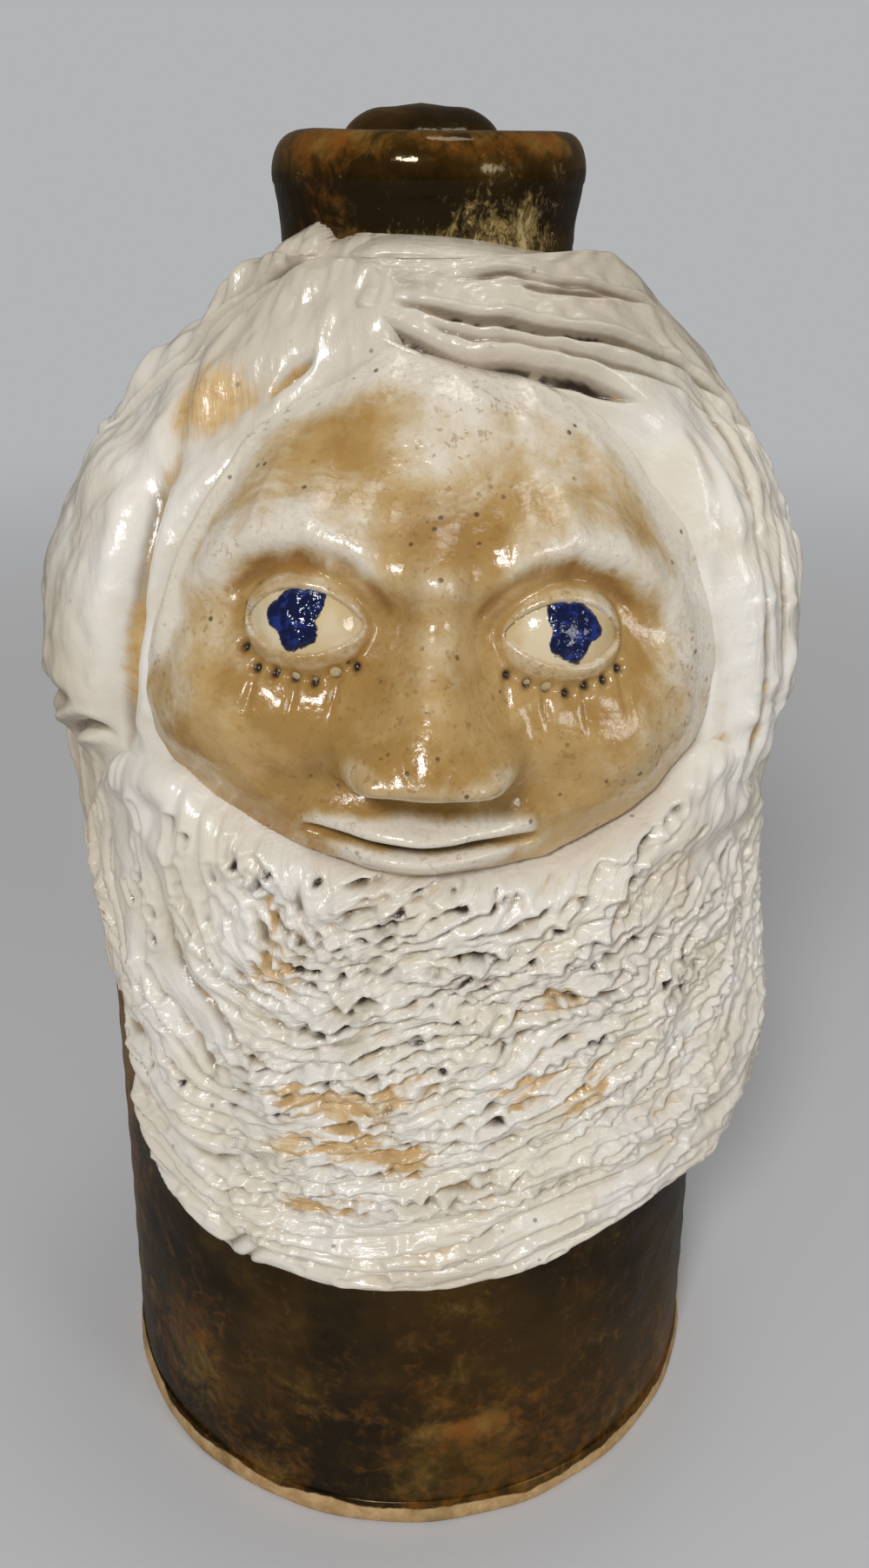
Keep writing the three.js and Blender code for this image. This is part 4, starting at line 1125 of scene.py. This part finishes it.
def makeEyes():  # two pressed balls, each with a raised dab for the iris
    for side, name in ((-1, "left"), (1, "right")):
        slab, face, back = rolledSlab(f"eyeball_{name}_glazed", 0, 1, *eyes["cells"])
        centre = side * head["eyeWidth"], head["eyeLine"]
        x, y = (c + (share - 0.5) * size for c, share, size in zip(centre, face, eyes["sheet"]))
        xb, yb = (c + (share - 0.5) * size for c, share, size in zip(centre, back, eyes["sheet"]))
        out = ballHeight(x, y, side)
        dx, dy = x - centre[0] - side * 0.3, y - centre[1] - 0.4
        angle = np.arctan2(dy, dx)
        radius = eyes["iris"] + 0.35 * np.sin(3 * angle + side) + 0.3 * np.sin(5 * angle + 2 * side)
        iris = 0.5 + (radius - np.hypot(dx, dy)) * 0.45
        out = out + 0.12 * ease(iris, 0.4, 0.7) * (1 + mottle(x, y, 0.7, 71))
        a, z = turnFace(x, y)
        marks = {"iris": held(iris)}
        laySlab(slab, (a, z, out), turnFace(xb, yb), marks, "eye", [f"eyeball_{name}"])


def spun(name, profile, sides):  # turns a profile of radius and height about the leaning axis
    piece = started(name, bpy.ops.mesh.primitive_circle_add, vertices=sides, radius=1)
    bpy.ops.object.mode_set(mode="EDIT")
    bpy.ops.mesh.select_all(action="SELECT")
    for _ in profile[1:]:
        bpy.ops.mesh.extrude_edges_move(TRANSFORM_OT_translate={"value": (0, 0, 1)})
    bpy.ops.object.mode_set(mode="OBJECT")
    spots = spotsOf(piece)
    ring = np.rint(spots[:, 2]).astype(int)
    radius, z = np.array(profile, float).T
    return piece, np.arctan2(spots[:, 1], spots[:, 0]), radius[ring], z[ring]


def shapeSpun(piece, angle, radius, z, marks):  # lays a turned piece about the leaning axis
    spots = np.stack([leanAt(z) + radius * np.cos(angle), radius * np.sin(angle), z], -1) / 1000
    moveTo(piece, spots, marks)


def closeSeam():  # joins the last ring of points to the first
    bpy.ops.object.mode_set(mode="EDIT")
    bpy.ops.mesh.select_all(action="SELECT")
    bpy.ops.mesh.remove_doubles(threshold=0.00001)
    bpy.ops.object.mode_set(mode="OBJECT")


thrown = {
    "sides": 144,
    "ripple": 0.14,
    "runs": 0.22,
    "flare": 0.75,
    "cream": [(-0.98, 188, 0.42, 6, 0.92), (-1.6, 187.5, 0.5, 2.2, 0.5)],  # radians round and height
    "neckAmber": [(-2.25, 191, 0.3, 5, 0.55), (-1.75, 186.6, 0.5, 1.6, 0.7)],
    # the first row is a tall amber strip down the left edge of the wall, partly amber glaze and partly a
    # painted rim light
    "lowAmberAndRimLight": [(-2.82, 62, 0.2, 38, 1.35), (-1.37, 18.8, 0.11, 1.6, 2.2), (-1.75, 23, 0.12, 1.5, 1.0)],
}


def wallProfile():  # up the outside, round the rim and down the bore to the floor of the jug
    base, shoulder, neck = vessel["slabThickness"], vessel["shoulderStart"], vessel["neckStart"]
    bore, roll = vessel["boreRadius"], vessel["rimRoll"]
    rings = np.concatenate([np.linspace(base, shoulder, 52), np.linspace(shoulder + 2, neck, 34)])
    outside = [(wallRadius(z), z) for z in rings]
    for z in np.linspace(186.8, 193.6, 10):
        outside.append((vessel["neckRadius"] + thrown["flare"] * ease(z, 187.5, 194), z))
    half = (vessel["rimRadius"] - bore) / 2
    for sweep in np.linspace(-0.06, 1.0, 20) * math.pi:
        c = math.cos(sweep)
        bulge = c ** 0.8 if c > 0 else -(abs(c) ** 0.9)
        outside.append((bore + half + half * bulge, vessel["rimHeight"] - roll + roll * math.sin(sweep)))
    inside = [(bore, z) for z in np.linspace(193, 181, 8)]
    for z in np.concatenate([np.linspace(180, shoulder, 26), np.linspace(shoulder - 6, base, 14)]):
        slope = wallRadius(z + 0.5) - wallRadius(z - 0.5)
        inside.append((max(bore, wallRadius(z) - vessel["wallThickness"] * math.hypot(1, slope)), z))
    return outside, inside


def makeWall():  # the wall, shoulder, neck and rolled rim in one, as thrown
    outside, inside = wallProfile()
    piece, angle, radius, z = spun("thrownWall", outside + inside + outside[:1], thrown["sides"])
    across = (angle + math.pi / 2) * vessel["chestRadius"]
    outer = np.arange(len(radius)) < len(outside) * thrown["sides"]
    skin = (outer & (z < vessel["neckStart"])).astype(float)  # the thrown wall below the neck
    ripple = np.sin(z * 2 * np.pi / 7.5 + 0.6 * mottle(across, z, 30, 81)) * thrown["ripple"]
    runs = thrown["runs"] * mottle(np.sin(angle) * 60, z * 0.5, 9, 82)
    radius = radius + skin * (ripple * 0.6 + runs - 0.2)
    rim = outer & (z > vessel["neckStart"])
    radius = radius + rim * 0.35 * mottle(angle * 14, z, 7, 83)
    z = z + rim * 0.3 * mottle(angle * 14, z * 0, 9, 84) * ease(z, 190, 198)
    amber = ease(z, 196, 199) * (0.85 + 0.45 * mottle(angle * 14, z, 5, 86))  # thin on the lip of the rim
    amber = amber - 0.45 * (ease(z, 188, 190) - ease(z, 194.5, 197))
    amber = amber + patches(angle, z, thrown["neckAmber"]) * rim
    low = 0.75 * ease(-z, -45, -6) * (0.6 + 0.5 * mottle(across, z, 20, 85))
    # with a painted rim light down the left edge of the wall
    low = patches(angle, z, thrown["lowAmberAndRimLight"], 0, low)
    marks = {"amber": amber + low, "cream": patches(angle, z, thrown["cream"])}
    shapeSpun(piece, angle, radius, z, marks)
    closeSeam()
    keep(piece, "brown", ["body_wall", "neck_collar"])


def makeFoot():  # the slab that the wall stands on
    r, t = vessel["footRadius"] + vessel["slabLip"], vessel["slabThickness"]
    profile = [
        (0.01, 0), (r * 0.5, 0), (r - 3, 0), (r - 1.0, 0), (r - 0.35, 0.3), (r, 1), (r - 0.05, 1.8),
        (r - 0.15, 2.6), (r - 0.35, 3.4), (r - 0.6, 4.1), (r - 0.85, t - 0.05), (r - 3, t), (r * 0.5, t),
        (0.01, t),
    ]
    piece, angle, radius, z = spun("footRing", profile, thrown["sides"])
    out = ease(radius, r - 5, r - 2)
    radius = radius + out * (0.25 * mottle(angle * 30, z, 5, 91) - 0.2)
    shapeSpun(piece, angle, radius, z, {"amber": 0.4 + 0 * z, "cream": 0 * z})
    closeSeam()
    keep(piece, "brown", ["base_slab"])


handle = {
    "width": 24,
    "thickness": 9.5,
    "arch": 3,
    "reach": 24,
    "foot": 96,
    "sides": 64,
    "rings": 96,
    "widths": (1.17, 1, 0.96, 0.88, 0.92, 1.21),  # shares from the neck to the lower end
    "thicknesses": (1.32, 1, 0.95, 1.32),
}


def makeHandle():  # a pulled strap from the neck down to the back of the wall
    t, rings = handle["thickness"], handle["rings"]
    top = vessel["rimHeight"] + handle["arch"] - t / 2
    backY = vessel["footRadius"] + handle["reach"] - t / 2
    middle = (top + handle["foot"]) / 2
    neck = vessel["neckRadius"]
    wall = float(wallRadius(handle["foot"]))
    start, foot = vessel["neckStart"], handle["foot"]
    path = through([
        (neck - t * 0.42, start - t * 0.42), (neck + t * 0.74, start + t * 0.32), (neck + t * 1.9, top),
        (backY - t * 0.95, top - t * 0.95), (backY, middle + t * 1.26),
        (backY - t * 0.32, middle - t * 1.47), (wall + t * 0.32, foot + t * 1.05),
        (wall - t * 0.42, foot + t * 0.21),
    ], rings + 1)
    sizes = {"vertices": handle["sides"], "radius": 1, "depth": 1, "end_fill_type": "NGON"}
    piece = started("pulledHandle", bpy.ops.mesh.primitive_cylinder_add, **sizes)
    bpy.ops.object.mode_set(mode="EDIT")
    bpy.ops.mesh.select_mode(type="EDGE")
    bpy.ops.mesh.select_all(action="DESELECT")
    bpy.ops.object.mode_set(mode="OBJECT")
    for edge in piece.data.edges:
        ends = [piece.data.vertices[i].co.z for i in edge.vertices]
        edge.select = abs(ends[0] - ends[1]) > 0.5
    bpy.ops.object.mode_set(mode="EDIT")
    bpy.ops.mesh.subdivide(number_cuts=rings - 1)
    bpy.ops.mesh.select_mode(type="VERT")
    bpy.ops.object.mode_set(mode="OBJECT")
    spots = spotsOf(piece)
    step = np.clip(np.rint((spots[:, 2] + 0.5) * rings).astype(int), 0, rings)
    share = step / rings
    sweep = np.arctan2(spots[:, 1], spots[:, 0])
    way = np.gradient(path, axis=0)
    way /= np.hypot(*way.T)[:, None]  # one millimetre along the strap
    wide = np.interp(share, np.linspace(0, 1, 6), handle["widths"]) * handle["width"] / 2
    thick = np.interp(share, np.linspace(0, 1, 4), handle["thicknesses"]) * t / 2
    across = np.sign(np.cos(sweep)) * np.abs(np.cos(sweep)) ** 0.7
    ribs = 1 + 0.035 * np.cos(across * 3 * np.pi) * (1 - np.abs(across) ** 4)  # drawn by the fingers
    lift = np.sin(sweep) * thick * ribs + 0.06 * mottle(share * 130, across * 12, 9, 95)
    x = leanAt(middle) + across * wide * (1 + 0.02 * mottle(share * 130, across, 14, 96))
    y = path[step, 0] - way[step, 1] * lift
    z = path[step, 1] + way[step, 0] * lift
    marks = {"amber": 0.35 * (np.abs(across) > 0.8), "cream": 0 * x}
    moveTo(piece, np.stack([x, y, z], -1) / 1000, marks)
    keep(piece, "brown", ["strap_handle"])


light = {
    "key": {"at": (-0.20, -0.76, 0.68), "size": 0.20, "power": 4.65},
    "fill": {"at": (0.62, -0.62, 0.36), "size": 0.26, "power": 1.3},
    "top": {"at": (0.10, 0.02, 0.88), "size": 0.24, "power": 0.6},
    "aim": (0, 0, 0.11),
    "world": 0.33,
}
view = {"place": (0.0046, -0.1998, 0.200), "down": 25.17, "lens": 31.93, "sensor": 36, "nearest": 0.01}


def setLamps():  # a small key for the crisp highlights, a fill and a top light
    for name in ("key", "fill", "top"):
        lamp = light[name]
        data = bpy.data.lights.new(name, "AREA")
        data.shape = "DISK"
        data.energy, data.size = lamp["power"], lamp["size"]
        item = bpy.data.objects.new(name, data)
        bpy.context.scene.collection.objects.link(item)
        item.location = lamp["at"]
        way = np.array(light["aim"]) - np.array(lamp["at"])
        dip = math.atan2(math.hypot(way[0], way[1]), -way[2])
        item.rotation_euler = (dip, 0, math.atan2(way[1], way[0]) - math.pi / 2)


def setWorld():  # soft light all round, the backdrop for the camera and the dark table for the glazes
    world = bpy.data.worlds.new("studio")
    bpy.context.scene.world = world
    world.use_nodes = True
    world.node_tree.nodes.clear()
    wet = Wet(world.node_tree)
    seen = wet.node("ShaderNodeLightPath", {}, {}, "Is Camera Ray")
    mirrored = wet.node("ShaderNodeLightPath", {}, {}, "Is Glossy Ray")
    shade = wet.blend(mirrored, (light["world"],) * 3, backdrop["mirrored"])
    shade = wet.blend(seen, shade, backdrop["far"])
    sky = wet.node("ShaderNodeBackground", {}, {"Color": shade, "Strength": 1.0})
    wet.node("ShaderNodeOutputWorld", {}, {"Surface": sky})
    bpy.context.scene.view_settings.view_transform = "Standard"


def setCamera():  # close and looking down, as the photograph was taken
    data = bpy.data.cameras.new("camera")
    camera = bpy.data.objects.new("camera", data)
    bpy.context.scene.collection.objects.link(camera)
    camera.location = view["place"]
    camera.rotation_euler = (math.radians(90 - view["down"]), 0, 0)
    data.sensor_width, data.lens, data.clip_start = view["sensor"], view["lens"], view["nearest"]
    bpy.context.scene.camera = camera


floor = started("floor", bpy.ops.mesh.primitive_plane_add, size=backdrop["size"])
floor.data.materials.append(makeFloor())
setLamps()
setWorld()
setCamera()
print("stage set")
makeWall()
makeFoot()
makeHandle()
makeFace()
makeEyes()
makeLocks()
makeTemple()
makeBeard()
